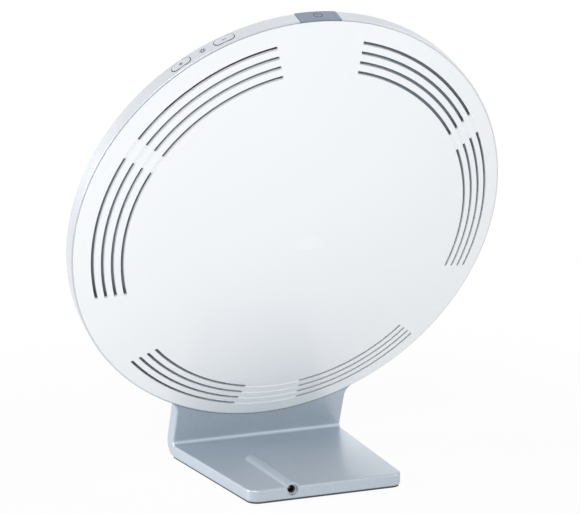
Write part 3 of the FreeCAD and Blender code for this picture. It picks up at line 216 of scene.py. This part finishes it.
# Finishes
def new_material(name, colour, metallic=0.0, roughness=0.5, coat=0.0, sheen=0.0, specular=0.5):
    """A material with its constants on the shader, ready for its grain."""
    material = bpy.data.materials.new(name)
    material.use_nodes = True
    shader = material.node_tree.nodes["Principled BSDF"]
    shader.inputs["Base Color"].default_value = (*colour, 1.0)
    shader.inputs["Metallic"].default_value = metallic
    shader.inputs["Roughness"].default_value = roughness
    shader.inputs["Coat Weight"].default_value = coat
    shader.inputs["Coat Roughness"].default_value = 0.12
    shader.inputs["Sheen Weight"].default_value = sheen
    shader.inputs["Specular IOR Level"].default_value = specular
    return material


def object_coordinates(material, stretch=(1.0, 1.0, 1.0), tilt=0.0):
    """Object coordinates through a Mapping node that stretches a pattern and leans it with the head."""
    nodes, links = material.node_tree.nodes, material.node_tree.links
    source = nodes.new("ShaderNodeTexCoord")
    mapping = nodes.new("ShaderNodeMapping")
    mapping.vector_type = "TEXTURE" if tilt else "POINT"
    mapping.inputs["Rotation"].default_value = (tilt, 0.0, 0.0)
    if tilt:
        mapping.inputs["Location"].default_value = (0.0, 0.0, HEAD_HEIGHT)
        mapping.inputs["Scale"].default_value = tuple(1 / value for value in stretch)
    else:
        mapping.inputs["Scale"].default_value = stretch
    links.new(source.outputs["Object"], mapping.inputs["Vector"])
    return mapping.outputs["Vector"]


def noise(material, vector, scale, detail=3.0):
    """A noise pattern's value."""
    texture = material.node_tree.nodes.new("ShaderNodeTexNoise")
    texture.inputs["Scale"].default_value = scale
    texture.inputs["Detail"].default_value = detail
    material.node_tree.links.new(vector, texture.inputs["Vector"])
    return texture.outputs["Fac"]


def cells(material, vector, scale):
    """A cell pattern: the distance to the nearest point and the cell's own random colour."""
    texture = material.node_tree.nodes.new("ShaderNodeTexVoronoi")
    texture.inputs["Scale"].default_value = scale
    material.node_tree.links.new(vector, texture.inputs["Vector"])
    return texture.outputs["Distance"], texture.outputs["Color"]


def spread(material, value, low, high, floor=0.1, ceiling=0.9):
    """A pattern's value mapped smoothly from floor..ceiling onto low..high."""
    node = material.node_tree.nodes.new("ShaderNodeMapRange")
    node.interpolation_type = "SMOOTHSTEP"
    node.inputs["From Min"].default_value = floor
    node.inputs["From Max"].default_value = ceiling
    node.inputs["To Min"].default_value = low
    node.inputs["To Max"].default_value = high
    material.node_tree.links.new(value, node.inputs["Value"])
    return node.outputs["Result"]


def blend_colours(material, value, first, second):
    """Two colours mixed by a pattern."""
    nodes, links = material.node_tree.nodes, material.node_tree.links
    node = nodes.new("ShaderNodeMix")
    node.data_type = "RGBA"
    node.inputs["A"].default_value = (*first, 1.0)
    node.inputs["B"].default_value = (*second, 1.0)
    links.new(value, node.inputs["Factor"])
    return node.outputs["Result"]


def tint(material, value, first, second):
    """Colour the surface by a pattern between two colours."""
    result = blend_colours(material, value, first, second)
    material.node_tree.links.new(result, material.node_tree.nodes["Principled BSDF"].inputs["Base Color"])


def rough(material, value, low, high):
    """Vary the roughness by a pattern."""
    result = spread(material, value, low, high)
    material.node_tree.links.new(result, material.node_tree.nodes["Principled BSDF"].inputs["Roughness"])


def bump(material, value, height):
    """Raise a pattern by a height in metres."""
    nodes, links = material.node_tree.nodes, material.node_tree.links
    node = nodes.new("ShaderNodeBump")
    node.inputs["Distance"].default_value = height
    links.new(value, node.inputs["Height"])
    links.new(node.outputs["Normal"], nodes["Principled BSDF"].inputs["Normal"])


def shade(colour, factor):
    """A colour made lighter or darker."""
    return tuple(min(1.0, value * factor) for value in colour)


def moulded_plastic(name, colour, roughness=0.35, coat=0.0, grain=900.0, depth=0.00003, cloud=1.0):
    """Moulded plastic: a fine even grain, and faint clouds in its colour and sheen, as strong as cloud says."""
    material = new_material(name, colour, roughness=roughness, coat=coat)
    vector = object_coordinates(material)
    fine = noise(material, vector, grain)
    clouds = noise(material, vector, PLASTIC_CLOUDS, detail=2.0)
    tint(material, clouds, shade(colour, 1 - 0.015 * cloud), shade(colour, 1 + 0.012 * cloud))
    rough(material, clouds, roughness - 0.04 * cloud, roughness + 0.05 * cloud)
    bump(material, fine, depth)
    return material


def metallic_paint(name, colour, flake_size, metallic, roughness, coat=0.25):
    """Metallic paint: flakes that each take the light a little differently, under a thin clear coat."""
    material = new_material(name, colour, metallic=metallic, roughness=roughness, coat=coat)
    vector = object_coordinates(material)
    distance, flake = cells(material, vector, 1 / flake_size)
    split = material.node_tree.nodes.new("ShaderNodeSeparateColor")
    material.node_tree.links.new(flake, split.inputs["Color"])
    tint(material, split.outputs["Red"], shade(colour, 0.90), shade(colour, 1.10))
    clouds = noise(material, vector, PAINT_CLOUDS, detail=4.0)
    rough(material, clouds, roughness - 0.04, roughness + 0.05)
    bump(material, distance, flake_size * 0.04)
    return material


def brushed_metal(name, colour, stretch, roughness=0.3, depth=0.00001, tilt=0.0):
    """Brushed or rolled metal: noise drawn out along one direction."""
    material = new_material(name, colour, metallic=1.0, roughness=roughness)
    vector = object_coordinates(material, stretch=stretch, tilt=tilt)
    streaks = noise(material, vector, METAL_STREAKS, detail=4.0)
    stains = noise(material, object_coordinates(material), METAL_STAINS)
    tint(material, streaks, shade(colour, 0.86), shade(colour, 1.08))
    rough(material, stains, roughness - 0.07, roughness + 0.09)
    bump(material, streaks, depth)
    return material


def printed_board(name, colour, copper, scale=180.0):
    """A circuit board: solder mask over raised tracks, with bare pads."""
    material = new_material(name, colour, roughness=0.32, coat=0.15)
    nodes, links = material.node_tree.nodes, material.node_tree.links
    vector = object_coordinates(material, tilt=math.pi / 2 - HEAD_TILT)
    tracks = nodes.new("ShaderNodeTexBrick")
    tracks.inputs["Scale"].default_value = scale
    tracks.inputs["Mortar Size"].default_value = 0.035
    tracks.inputs["Mortar Smooth"].default_value = 0.1
    tracks.offset = 0.37
    links.new(vector, tracks.inputs["Vector"])
    distance, _ = cells(material, vector, scale * 0.8)
    pads = spread(material, distance, 1.0, 0.0, floor=0.16, ceiling=0.19)
    mask = blend_colours(material, tracks.outputs["Fac"], colour, shade(colour, 1.5))
    mix = nodes.new("ShaderNodeMix")
    mix.data_type = "RGBA"
    mix.inputs["B"].default_value = (*copper, 1.0)
    links.new(mask, mix.inputs["A"])
    links.new(pads, mix.inputs["Factor"])
    links.new(mix.outputs["Result"], nodes["Principled BSDF"].inputs["Base Color"])
    bump(material, tracks.outputs["Fac"], 0.00004)
    return material


def soft_rubber(name, colour, grain=700.0, depth=0.00006, roughness=0.8):
    """Rubber, foam or lead insulation: a matt surface with fine pores."""
    material = new_material(name, colour, roughness=roughness, sheen=0.05, specular=0.3)
    vector = object_coordinates(material)
    distance, _ = cells(material, vector, grain)
    clouds = noise(material, vector, RUBBER_CLOUDS)
    tint(material, clouds, shade(colour, 0.85), shade(colour, 1.2))
    rough(material, clouds, roughness - 0.08, roughness + 0.08)
    bump(material, distance, depth)
    return material


def dress(material, *nodes):
    """Give CAD nodes a material."""
    for node in nodes:
        NODES[node].data.materials.clear()
        NODES[node].data.materials.append(material)


# Settings
def colour_setting(label, slot, description):
    """A colour that starts as the record's colour for a slot."""
    return FloatVectorProperty(name=label, description=description, subtype="COLOR", size=3, min=0.0, max=1.0,
                               default=colour_of(slot))


class LampFinishSettings(bpy.types.PropertyGroup):
    """Colours and grain of what shows from outside."""
    cover_colour: colour_setting("Cover", "cover_white", "Colour of the glossy back cover")
    rim_colour: colour_setting("Rim", "rim_silver", "Colour of the rim's paint")
    foot_colour: colour_setting("Foot", "foot_silver", "Colour of the foot's paint")
    button_colour: colour_setting("Power button", "button_grey", "Colour of the power button")
    diffuser_colour: colour_setting("Diffuser", "diffuser_opal", "Colour of the opal front")
    flake_size: FloatProperty(name="Flake size", description="Width of one flake of the metallic paint",
                              default=0.00035, min=0.0001, max=0.002, unit="LENGTH")


class LampSignSettings(bpy.types.PropertyGroup):
    """Sizes of the printed signs on the rim."""
    sign_colour: FloatVectorProperty(name="Print", description="Colour of the printed signs", subtype="COLOR",
                                     size=3, min=0.0, max=1.0, default=(0.03, 0.045, 0.10))
    line_width: FloatProperty(name="Line width", description="Width of the printed lines", default=0.00062,
                              min=0.0002, max=0.002, unit="LENGTH")
    power_radius: FloatProperty(name="Power sign", description="Radius of the power sign's ring",
                                default=0.0031, min=0.001, max=0.005, unit="LENGTH")
    oval_reach: FloatProperty(name="Plus and minus", description="Half length of the plus and minus bars",
                              default=0.0017, min=0.0005, max=0.003, unit="LENGTH")
    sun_radius: FloatProperty(name="Sun", description="Radius of the sun sign's ring", default=0.0013,
                              min=0.0005, max=0.003, unit="LENGTH")
    sun_rays: IntProperty(name="Rays", description="Number of the sun sign's rays", default=8, min=4, max=16)


class LampStageSettings(bpy.types.PropertyGroup):
    """Light, floor and background of the studio."""
    key_power: FloatProperty(name="Key light", description="Power of the large light left of the camera",
                             default=48.0, min=0.0, soft_max=200.0, unit="POWER")
    side_power: FloatProperty(name="Side light", description="Power of the low light beside the disc's edge",
                              default=46.0, min=0.0, soft_max=200.0, unit="POWER")
    fill_power: FloatProperty(name="Fill light", description="Power of the light at the right of the camera",
                              default=16.0, min=0.0, soft_max=200.0, unit="POWER")
    front_power: FloatProperty(name="Front light", description="Power of the light that faces the diffuser",
                               default=8.0, min=0.0, soft_max=200.0, unit="POWER")
    world_level: FloatProperty(name="Room light", description="Level of the even light from all sides",
                               default=0.45, min=0.0, max=1.0)
    floor_glow: FloatProperty(name="Floor white", description="Share of the floor's white without shadow",
                              default=0.93, min=0.0, max=1.0)
    floor_bounce: FloatProperty(name="Floor bounce", description="Share of the floor's own light on the lamp",
                                default=0.3, min=0.0, max=1.0)
    floor_size: FloatProperty(name="Floor size", description="Width of the floor", default=40.0, min=2.0,
                              unit="LENGTH")


# Operators that dress the CAD nodes
class LAMP_OT_dress_case(bpy.types.Operator):
    """Dress the cover, rim, diffuser, foam ring and dish"""
    bl_idname = "lamp.dress_case"
    bl_label = "Dress the case"

    def execute(self, context):
        finish = context.scene.lamp_finish
        cover = moulded_plastic("cover white gloss plastic", finish.cover_colour, roughness=0.26, coat=0.25,
                                grain=500.0, depth=0.000004, cloud=0.15)
        rim = metallic_paint("rim silver paint", finish.rim_colour, finish.flake_size, metallic=0.8,
                             roughness=0.32)
        diffuser = moulded_plastic("diffuser opal plastic", finish.diffuser_colour, roughness=0.55,
                                   grain=1600.0, depth=0.00003)
        dress(cover, "back_cover")
        dress(rim, "rim_ring", "minus_button", "plus_button")
        dress(diffuser, "front_diffuser")
        foam = soft_rubber("gasket foam", colour_of("foam_grey"), grain=1800.0, depth=0.0001)
        dress(foam, "diffuser_gasket")
        # The reflector dish is a darker, bluer grey than its own white: painted shade for what shows through
        # the cover's vents.
        dress(moulded_plastic("dish matt plastic", (0.50, 0.57, 0.64), roughness=0.6, grain=1100.0),
              "reflector_dish")
        return {"FINISHED"}


class LAMP_OT_dress_foot(bpy.types.Operator):
    """Dress the foot's shell, panel, pad, ballast and bracket"""
    bl_idname = "lamp.dress_foot"
    bl_label = "Dress the foot"

    def execute(self, context):
        finish = context.scene.lamp_finish
        paint = metallic_paint("foot silver paint", finish.foot_colour, finish.flake_size, metallic=0.6,
                               roughness=0.42)
        dress(paint, "foot_shell", "foot_panel")
        dress(soft_rubber("pad rubber", colour_of("pad_grey"), grain=900.0, depth=0.00015), "base_pad")
        ballast = brushed_metal("ballast rolled steel", colour_of("ballast_steel"), (1.0, 0.08, 1.0),
                                roughness=0.5, depth=0.00003)
        dress(ballast, "ballast_plate_narrow", "ballast_plate_wide")
        bracket = brushed_metal("bracket zinc-plated steel", colour_of("steel_zinc"), (0.08, 1.0, 1.0),
                                roughness=0.35, tilt=math.pi / 2 - HEAD_TILT)
        dress(bracket, "neck_bracket")
        return {"FINISHED"}


class LAMP_OT_dress_light(bpy.types.Operator):
    """Dress the light plate, the strips, the hub board and the emitters"""
    bl_idname = "lamp.dress_light"
    bl_label = "Dress the light boards"

    def execute(self, context):
        plate = brushed_metal("plate brushed aluminium", colour_of("plate_aluminium"), (0.05, 1.0, 1.0),
                              roughness=0.33, tilt=math.pi / 2 - HEAD_TILT)
        dress(plate, "led_plate", "driver_heatsink")
        board = printed_board("strip white board", colour_of("board_white"), (0.80, 0.74, 0.52), scale=150.0)
        dress(board, "led_hub_board", *[f"led_strip_{index + 1}" for index in range(STRIPS)])
        dress(moulded_plastic("emitter package", colour_of("emitter_yellow"), roughness=0.4, grain=2600.0),
              "led_emitters")
        return {"FINISHED"}


class LAMP_OT_dress_driver(bpy.types.Operator):
    """Dress the driver board and what is soldered to it"""
    bl_idname = "lamp.dress_driver"
    bl_label = "Dress the driver board"

    def execute(self, context):
        driver = printed_board("driver green board", colour_of("board_green"), (0.72, 0.60, 0.36))
        dress(driver, "driver_board")
        dress(printed_board("control black board", (0.035, 0.04, 0.05), (0.55, 0.56, 0.58)), "control_board")
        sleeve = moulded_plastic("capacitor printed sleeve", colour_of("capacitor_sleeve"), roughness=0.3,
                                 coat=0.3)
        dress(sleeve, "driver_capacitors")
        ferrite = soft_rubber("inductor ground ferrite", colour_of("inductor_ferrite"), grain=2200.0,
                              depth=0.00003, roughness=0.6)
        dress(ferrite, "driver_inductor")
        connector = moulded_plastic("connector natural nylon", colour_of("connector_cream"), roughness=0.45)
        dress(connector, "driver_connectors", "hub_connector")
        brass = brushed_metal("standoff turned brass", colour_of("contact_brass"), (1.0, 0.2, 0.2))
        dress(brass, "board_standoffs")
        return {"FINISHED"}


class LAMP_OT_dress_controls(bpy.types.Operator):
    """Dress the buttons, switches and plungers"""
    bl_idname = "lamp.dress_controls"
    bl_label = "Dress the controls"

    def execute(self, context):
        button = moulded_plastic("button grey satin plastic", context.scene.lamp_finish.button_colour,
                                 roughness=0.42, grain=1400.0, depth=0.00002)
        dress(button, "power_button")
        black = moulded_plastic("black moulded plastic", colour_of("plastic_black"), roughness=0.5,
                                grain=1600.0)
        dress(black, "driver_chips", "power_plunger", "minus_plunger", "plus_plunger", "switch_housings",
              "jack_housing")
        return {"FINISHED"}


class LAMP_OT_dress_metalware(bpy.types.Operator):
    """Dress the screws, the jack's bezel and contacts, and the inner leads"""
    bl_idname = "lamp.dress_metalware"
    bl_label = "Dress the screws, contacts and leads"

    def execute(self, context):
        screw = brushed_metal("screw nickel-plated steel", colour_of("screw_steel"), (0.3, 1.0, 1.0),
                              roughness=0.28)
        dress(screw, "strip_screws", "dish_screws", "plate_screws", "board_screws", "control_screws",
              "base_screws", "neck_screws")
        spring = brushed_metal("contact plated spring metal", colour_of("contact_spring"), (1.0, 0.1, 1.0),
                               roughness=0.2)
        dress(spring, "jack_sleeve")
        # The jack's pin is near-black metal: painted shade standing in for the dark deep inside the bore.
        dress(brushed_metal("contact dark nickel plate", (0.17, 0.17, 0.18), (1.0, 0.2, 1.0)), "jack_pin")
        bezel = brushed_metal("bezel turned steel", colour_of("screw_steel"), (0.4, 1.0, 0.4))
        dress(bezel, "jack_bezel")
        dress(soft_rubber("lead black insulation", colour_of("lead_black"), roughness=0.55), "supply_lead")
        dress(soft_rubber("lead grey insulation", colour_of("lead_grey"), roughness=0.55),
              "control_lead", "light_lead")
        return {"FINISHED"}


# Operators that make the signs and the small parts
def sign_material():
    """The print of the signs, made once."""
    found = bpy.data.materials.get("sign dark print")
    colour = bpy.context.scene.lamp_signs.sign_colour
    return found or moulded_plastic("sign dark print", colour, roughness=0.5, grain=3000.0, depth=0.000005)


class LAMP_OT_power_sign(bpy.types.Operator):
    """Print the power sign on its button: an open ring and a bar"""
    bl_idname = "lamp.power_sign"
    bl_label = "Power sign"

    def execute(self, context):
        signs = context.scene.lamp_signs
        ring = arc_path(signs.power_radius, POWER_GAP, 360 - POWER_GAP, RING_POINTS + 1)
        bar = line_path((0.0, 0.0), (0.0, signs.power_radius * POWER_BAR))
        shells = [stroke_shell(path, signs.line_width, BUTTON_RADIUS, POWER_ANGLE) for path in (ring, bar)]
        make_piece("power_sign", shells, "power_key", sign_material(), smooth=False)
        return {"FINISHED"}


class LAMP_OT_minus_sign(bpy.types.Operator):
    """Print the minus sign on its button"""
    bl_idname = "lamp.minus_sign"
    bl_label = "Minus sign"

    def execute(self, context):
        signs = context.scene.lamp_signs
        bar = line_path((-signs.oval_reach, 0.0), (signs.oval_reach, 0.0))
        shells = [stroke_shell(bar, signs.line_width, BUTTON_RADIUS, MINUS_ANGLE)]
        make_piece("minus_sign", shells, "minus_key", sign_material(), smooth=False)
        return {"FINISHED"}


class LAMP_OT_plus_sign(bpy.types.Operator):
    """Print the plus sign on its button"""
    bl_idname = "lamp.plus_sign"
    bl_label = "Plus sign"

    def execute(self, context):
        signs = context.scene.lamp_signs
        reach = signs.oval_reach
        half = signs.line_width / 2
        bars = [line_path((-reach, 0.0), (reach, 0.0)), line_path((0.0, half), (0.0, reach)),
                line_path((0.0, -reach), (0.0, -half))]
        shells = [stroke_shell(bar, signs.line_width, BUTTON_RADIUS, PLUS_ANGLE) for bar in bars]
        make_piece("plus_sign", shells, "plus_key", sign_material(), smooth=False)
        return {"FINISHED"}


class LAMP_OT_sun_sign(bpy.types.Operator):
    """Print the brightness sign on the rim between the oval buttons: a ring and its rays"""
    bl_idname = "lamp.sun_sign"
    bl_label = "Brightness sign"

    def execute(self, context):
        signs = context.scene.lamp_signs
        ring = arc_path(signs.sun_radius, 0, 360 * (RING_POINTS - 1) / RING_POINTS, RING_POINTS)
        shells = [stroke_shell(ring, signs.line_width, RIM_RADIUS, SUN_ANGLE, closed=True)]
        for index in range(signs.sun_rays):
            turn = 2 * math.pi * index / signs.sun_rays
            reach = signs.sun_radius * np.array([math.sin(turn), math.cos(turn)])
            ray = line_path(reach * RAY_START, reach * RAY_END, count=3)
            shells.append(stroke_shell(ray, signs.line_width * RAY_WIDTH, RIM_RADIUS, SUN_ANGLE))
        make_piece("sun_sign", shells, "lamp", sign_material(), smooth=False)
        return {"FINISHED"}


class LAMP_OT_button_outlines(bpy.types.Operator):
    """Print a thin outline round each oval button"""
    bl_idname = "lamp.button_outlines"
    bl_label = "Button outlines"

    def execute(self, context):
        path = oval_path(OUTLINE_LENGTH, OUTLINE_WIDTH)
        shells = [stroke_shell(path, OUTLINE_LINE, RIM_RADIUS, angle, closed=True)
                  for angle in (MINUS_ANGLE, PLUS_ANGLE)]
        make_piece("button_outlines", shells, "lamp", sign_material(), smooth=False)
        return {"FINISHED"}


class LAMP_OT_emitter_domes(bpy.types.Operator):
    """Set a yellow resin dome on each light emitter"""
    bl_idname = "lamp.emitter_domes"
    bl_label = "Emitter domes"

    def execute(self, context):
        """A dome is r sin(v) across and h cos(v) up, for v from near 0 to a quarter turn, with a flat foot.

        A small flat face closes its top and another its foot. One sits at each emitter's middle.
        """
        strips = np.radians(STRIP_TURN + 360 / STRIPS * np.arange(STRIPS))
        places = FIRST_EMITTER + EMITTER_RUN * np.linspace(0, 1, EMITTERS_ON_STRIP)
        middle_x = (np.cos(strips)[:, None] * places[None, :]).ravel()
        middle_y = (np.sin(strips)[:, None] * places[None, :]).ravel()
        turn = np.linspace(0, 2 * math.pi, DOME_SIDES, endpoint=False)
        rise = np.radians([4.0, 35.0, 65.0, 90.0, 90.0])
        foot = np.array([0.0, 0.0, 0.0, 0.0, -DOME_SINK])
        across = DOME_RADIUS * np.sin(rise)[:, None] * np.ones(DOME_SIDES)
        x = middle_x[:, None, None] + across * np.cos(turn)
        y = middle_y[:, None, None] + across * np.sin(turn)
        z = np.broadcast_to((DOME_HEIGHT * np.cos(rise) + foot)[None, :, None], x.shape)
        points = head_to_world(x, y, z)
        side = grid_faces(len(rise), DOME_SIDES, wrap_columns=True)[:, ::-1]
        top = np.arange(DOME_SIDES)
        base = top[::-1] + DOME_SIDES * (len(rise) - 1)
        shells = [(dome, [*side, top, base]) for dome in points]
        resin = moulded_plastic("emitter phosphor resin", (0.92, 0.80, 0.30), roughness=0.2, coat=0.5)
        make_piece("emitter_domes", shells, "lamp", resin)
        return {"FINISHED"}


class LAMP_OT_inductor_winding(bpy.types.Operator):
    """Wind enamelled wire round the inductor's core"""
    bl_idname = "lamp.inductor_winding"
    bl_label = "Inductor winding"

    def execute(self, context):
        """The radius is r + w |cos(pi n v + u / 2)| over the turn u and the height v, with n turns of wire.

        The first and last rows are pulled in to the inside, where a straight wall joins them.
        """
        turn = np.linspace(0, 2 * math.pi, WINDING_SIDES, endpoint=False)
        share = np.linspace(0, 1, WINDING_ROWS)
        rib = np.abs(np.cos(math.pi * WINDING_TURNS * share[:, None] + turn[None, :] / 2))
        radius = WINDING_RADIUS + WIRE_RISE * rib
        radius[[0, -1]] = WINDING_INSIDE
        x = INDUCTOR_MIDDLE[0] + radius * np.cos(turn)
        y = INDUCTOR_MIDDLE[1] + radius * np.sin(turn)
        z = np.broadcast_to((WINDING_START - WINDING_RUN * share)[:, None], x.shape)
        wire = new_material("winding enamelled copper", (0.62, 0.27, 0.12), metallic=0.9, roughness=0.3,
                            coat=0.4)
        streaks = noise(wire, object_coordinates(wire), WIRE_STREAKS)
        tint(wire, streaks, (0.55, 0.22, 0.09), (0.70, 0.33, 0.15))
        rough(wire, streaks, 0.25, 0.38)
        faces = grid_faces(WINDING_ROWS, WINDING_SIDES, wrap_rows=True, wrap_columns=True)[:, ::-1]
        make_piece("inductor_winding", [(head_to_world(x, y, z), faces)], "lamp", wire)
        return {"FINISHED"}


# Stage
def white_for_viewers(tree, lit, plain):
    """Show a plain shader to camera, glossy and transmission rays, and the lit one to the rest."""
    rays = tree.nodes.new("ShaderNodeLightPath")
    first = tree.nodes.new("ShaderNodeMath")
    first.operation = "MAXIMUM"
    second = tree.nodes.new("ShaderNodeMath")
    second.operation = "MAXIMUM"
    tree.links.new(rays.outputs["Is Camera Ray"], first.inputs[0])
    tree.links.new(rays.outputs["Is Glossy Ray"], first.inputs[1])
    tree.links.new(first.outputs["Value"], second.inputs[0])
    tree.links.new(rays.outputs["Is Transmission Ray"], second.inputs[1])
    mix = tree.nodes.new("ShaderNodeMixShader")
    tree.links.new(second.outputs["Value"], mix.inputs["Fac"])
    tree.links.new(lit, mix.inputs[1])
    tree.links.new(plain, mix.inputs[2])
    return mix.outputs["Shader"]


def area_light(name, place, size, power, colour):
    """A square soft light that faces the middle of the lamp."""
    light = bpy.data.lights.new(name, "AREA")
    light.shape = "SQUARE"
    light.size = size
    light.energy = power
    light.color = colour
    thing = bpy.data.objects.new(name, light)
    thing.location = place
    aim = Vector((0.0, 0.0, HEAD_HEIGHT)) - Vector(place)
    thing.rotation_euler = aim.to_track_quat("-Z", "Y").to_euler()
    bpy.context.scene.collection.objects.link(thing)


class LAMP_OT_stage(bpy.types.Operator):
    """Lay the floor, set the lights and the camera"""
    bl_idname = "lamp.stage"
    bl_label = "Stage"

    def execute(self, context):
        stage = context.scene.lamp_stage
        self.lay_floor(stage)
        self.light_room(stage)
        for name, place, size, power, colour in LIGHTS:
            area_light(name, place, size, getattr(stage, power), colour)
        camera = bpy.data.cameras.new("camera")
        camera.lens = CAMERA_LENS
        camera.sensor_width = CAMERA_SENSOR
        eye = bpy.data.objects.new("camera", camera)
        eye.location = CAMERA_PLACE
        eye.rotation_euler = [math.radians(value) for value in CAMERA_TURN]
        context.scene.collection.objects.link(eye)
        context.scene.camera = eye
        context.scene.view_settings.view_transform = "Standard"
        return {"FINISHED"}

    def lay_floor(self, stage):
        """A pale floor: it takes the lamp's shadow near it, is plain white further out, and lights the lamp."""
        half = stage.floor_size / 2
        mesh = bpy.data.meshes.new("floor")
        corners = [(-half, -half, 0), (half, -half, 0), (half, half, 0), (-half, half, 0)]
        mesh.from_pydata(corners, [], [(0, 1, 2, 3)])
        floor = bpy.data.objects.new("floor", mesh)
        bpy.context.scene.collection.objects.link(floor)
        material = bpy.data.materials.new("floor pale")
        material.use_nodes = True
        tree = material.node_tree
        tree.nodes.clear()
        source = tree.nodes.new("ShaderNodeTexCoord")
        length = tree.nodes.new("ShaderNodeVectorMath")
        length.operation = "LENGTH"
        tree.links.new(source.outputs["Object"], length.inputs[0])
        glow = tree.nodes.new("ShaderNodeMapRange")
        glow.interpolation_type = "SMOOTHSTEP"
        glow.inputs["From Min"].default_value = FLOOR_NEAR
        glow.inputs["From Max"].default_value = FLOOR_FAR
        glow.inputs["To Min"].default_value = stage.floor_glow
        glow.inputs["To Max"].default_value = 1.0
        tree.links.new(length.outputs["Value"], glow.inputs["Value"])
        plain = tree.nodes.new("ShaderNodeBsdfDiffuse")
        plain.inputs["Color"].default_value = (*FLOOR_LIT, 1.0)
        shadow = tree.nodes.new("ShaderNodeBsdfDiffuse")
        shadow.inputs["Color"].default_value = (*FLOOR_SEEN, 1.0)
        white = tree.nodes.new("ShaderNodeEmission")
        lit = tree.nodes.new("ShaderNodeMixShader")
        lit.inputs["Fac"].default_value = stage.floor_bounce
        tree.links.new(plain.outputs["BSDF"], lit.inputs[1])
        tree.links.new(white.outputs["Emission"], lit.inputs[2])
        seen = tree.nodes.new("ShaderNodeMixShader")
        tree.links.new(glow.outputs["Result"], seen.inputs["Fac"])
        tree.links.new(shadow.outputs["BSDF"], seen.inputs[1])
        tree.links.new(white.outputs["Emission"], seen.inputs[2])
        out = tree.nodes.new("ShaderNodeOutputMaterial")
        shown = white_for_viewers(tree, lit.outputs["Shader"], seen.outputs["Shader"])
        tree.links.new(shown, out.inputs["Surface"])
        mesh.materials.append(material)

    def light_room(self, stage):
        """Even light from all sides, seen as plain white."""
        world = bpy.data.worlds.new("room")
        bpy.context.scene.world = world
        world.use_nodes = True
        tree = world.node_tree
        tree.nodes.clear()
        lit = tree.nodes.new("ShaderNodeBackground")
        lit.inputs["Color"].default_value = (*ROOM_COLOUR, 1.0)
        lit.inputs["Strength"].default_value = stage.world_level
        plain = tree.nodes.new("ShaderNodeBackground")
        plain.inputs["Color"].default_value = (*WHITE, 1.0)
        out = tree.nodes.new("ShaderNodeOutputWorld")
        shown = white_for_viewers(tree, lit.outputs["Background"], plain.outputs["Background"])
        tree.links.new(shown, out.inputs["Surface"])


OPERATORS = (
    LAMP_OT_dress_case, LAMP_OT_dress_foot, LAMP_OT_dress_light, LAMP_OT_dress_driver, LAMP_OT_dress_controls,
    LAMP_OT_dress_metalware, LAMP_OT_power_sign, LAMP_OT_minus_sign, LAMP_OT_plus_sign, LAMP_OT_sun_sign,
    LAMP_OT_button_outlines, LAMP_OT_emitter_domes, LAMP_OT_inductor_winding, LAMP_OT_stage,
)


class LAMP_PT_sidebar(bpy.types.Panel):
    """The lamp's steps and settings"""
    bl_idname = "LAMP_PT_sidebar"
    bl_label = "Light therapy lamp"
    bl_space_type = "VIEW_3D"
    bl_region_type = "UI"
    bl_category = "Lamp"

    def draw(self, context):
        for settings in (context.scene.lamp_finish, context.scene.lamp_signs, context.scene.lamp_stage):
            column = self.layout.column()
            for name in settings.__annotations__:
                column.prop(settings, name)
        for operator in OPERATORS:
            self.layout.operator(operator.bl_idname)


CLASSES = (LampFinishSettings, LampSignSettings, LampStageSettings, *OPERATORS, LAMP_PT_sidebar)


def register():
    """Add the classes and their settings to Blender."""
    for item in CLASSES:
        bpy.utils.register_class(item)
    bpy.types.Scene.lamp_finish = PointerProperty(type=LampFinishSettings)
    bpy.types.Scene.lamp_signs = PointerProperty(type=LampSignSettings)
    bpy.types.Scene.lamp_stage = PointerProperty(type=LampStageSettings)


def unregister():
    """Take them out again."""
    del bpy.types.Scene.lamp_stage
    del bpy.types.Scene.lamp_signs
    del bpy.types.Scene.lamp_finish
    for item in reversed(CLASSES):
        bpy.utils.unregister_class(item)


def main():
    """Run every step in order."""
    register()
    for operator in OPERATORS:
        getattr(bpy.ops.lamp, operator.bl_idname.split(".")[1])()


if __name__ == "__main__":
    main()
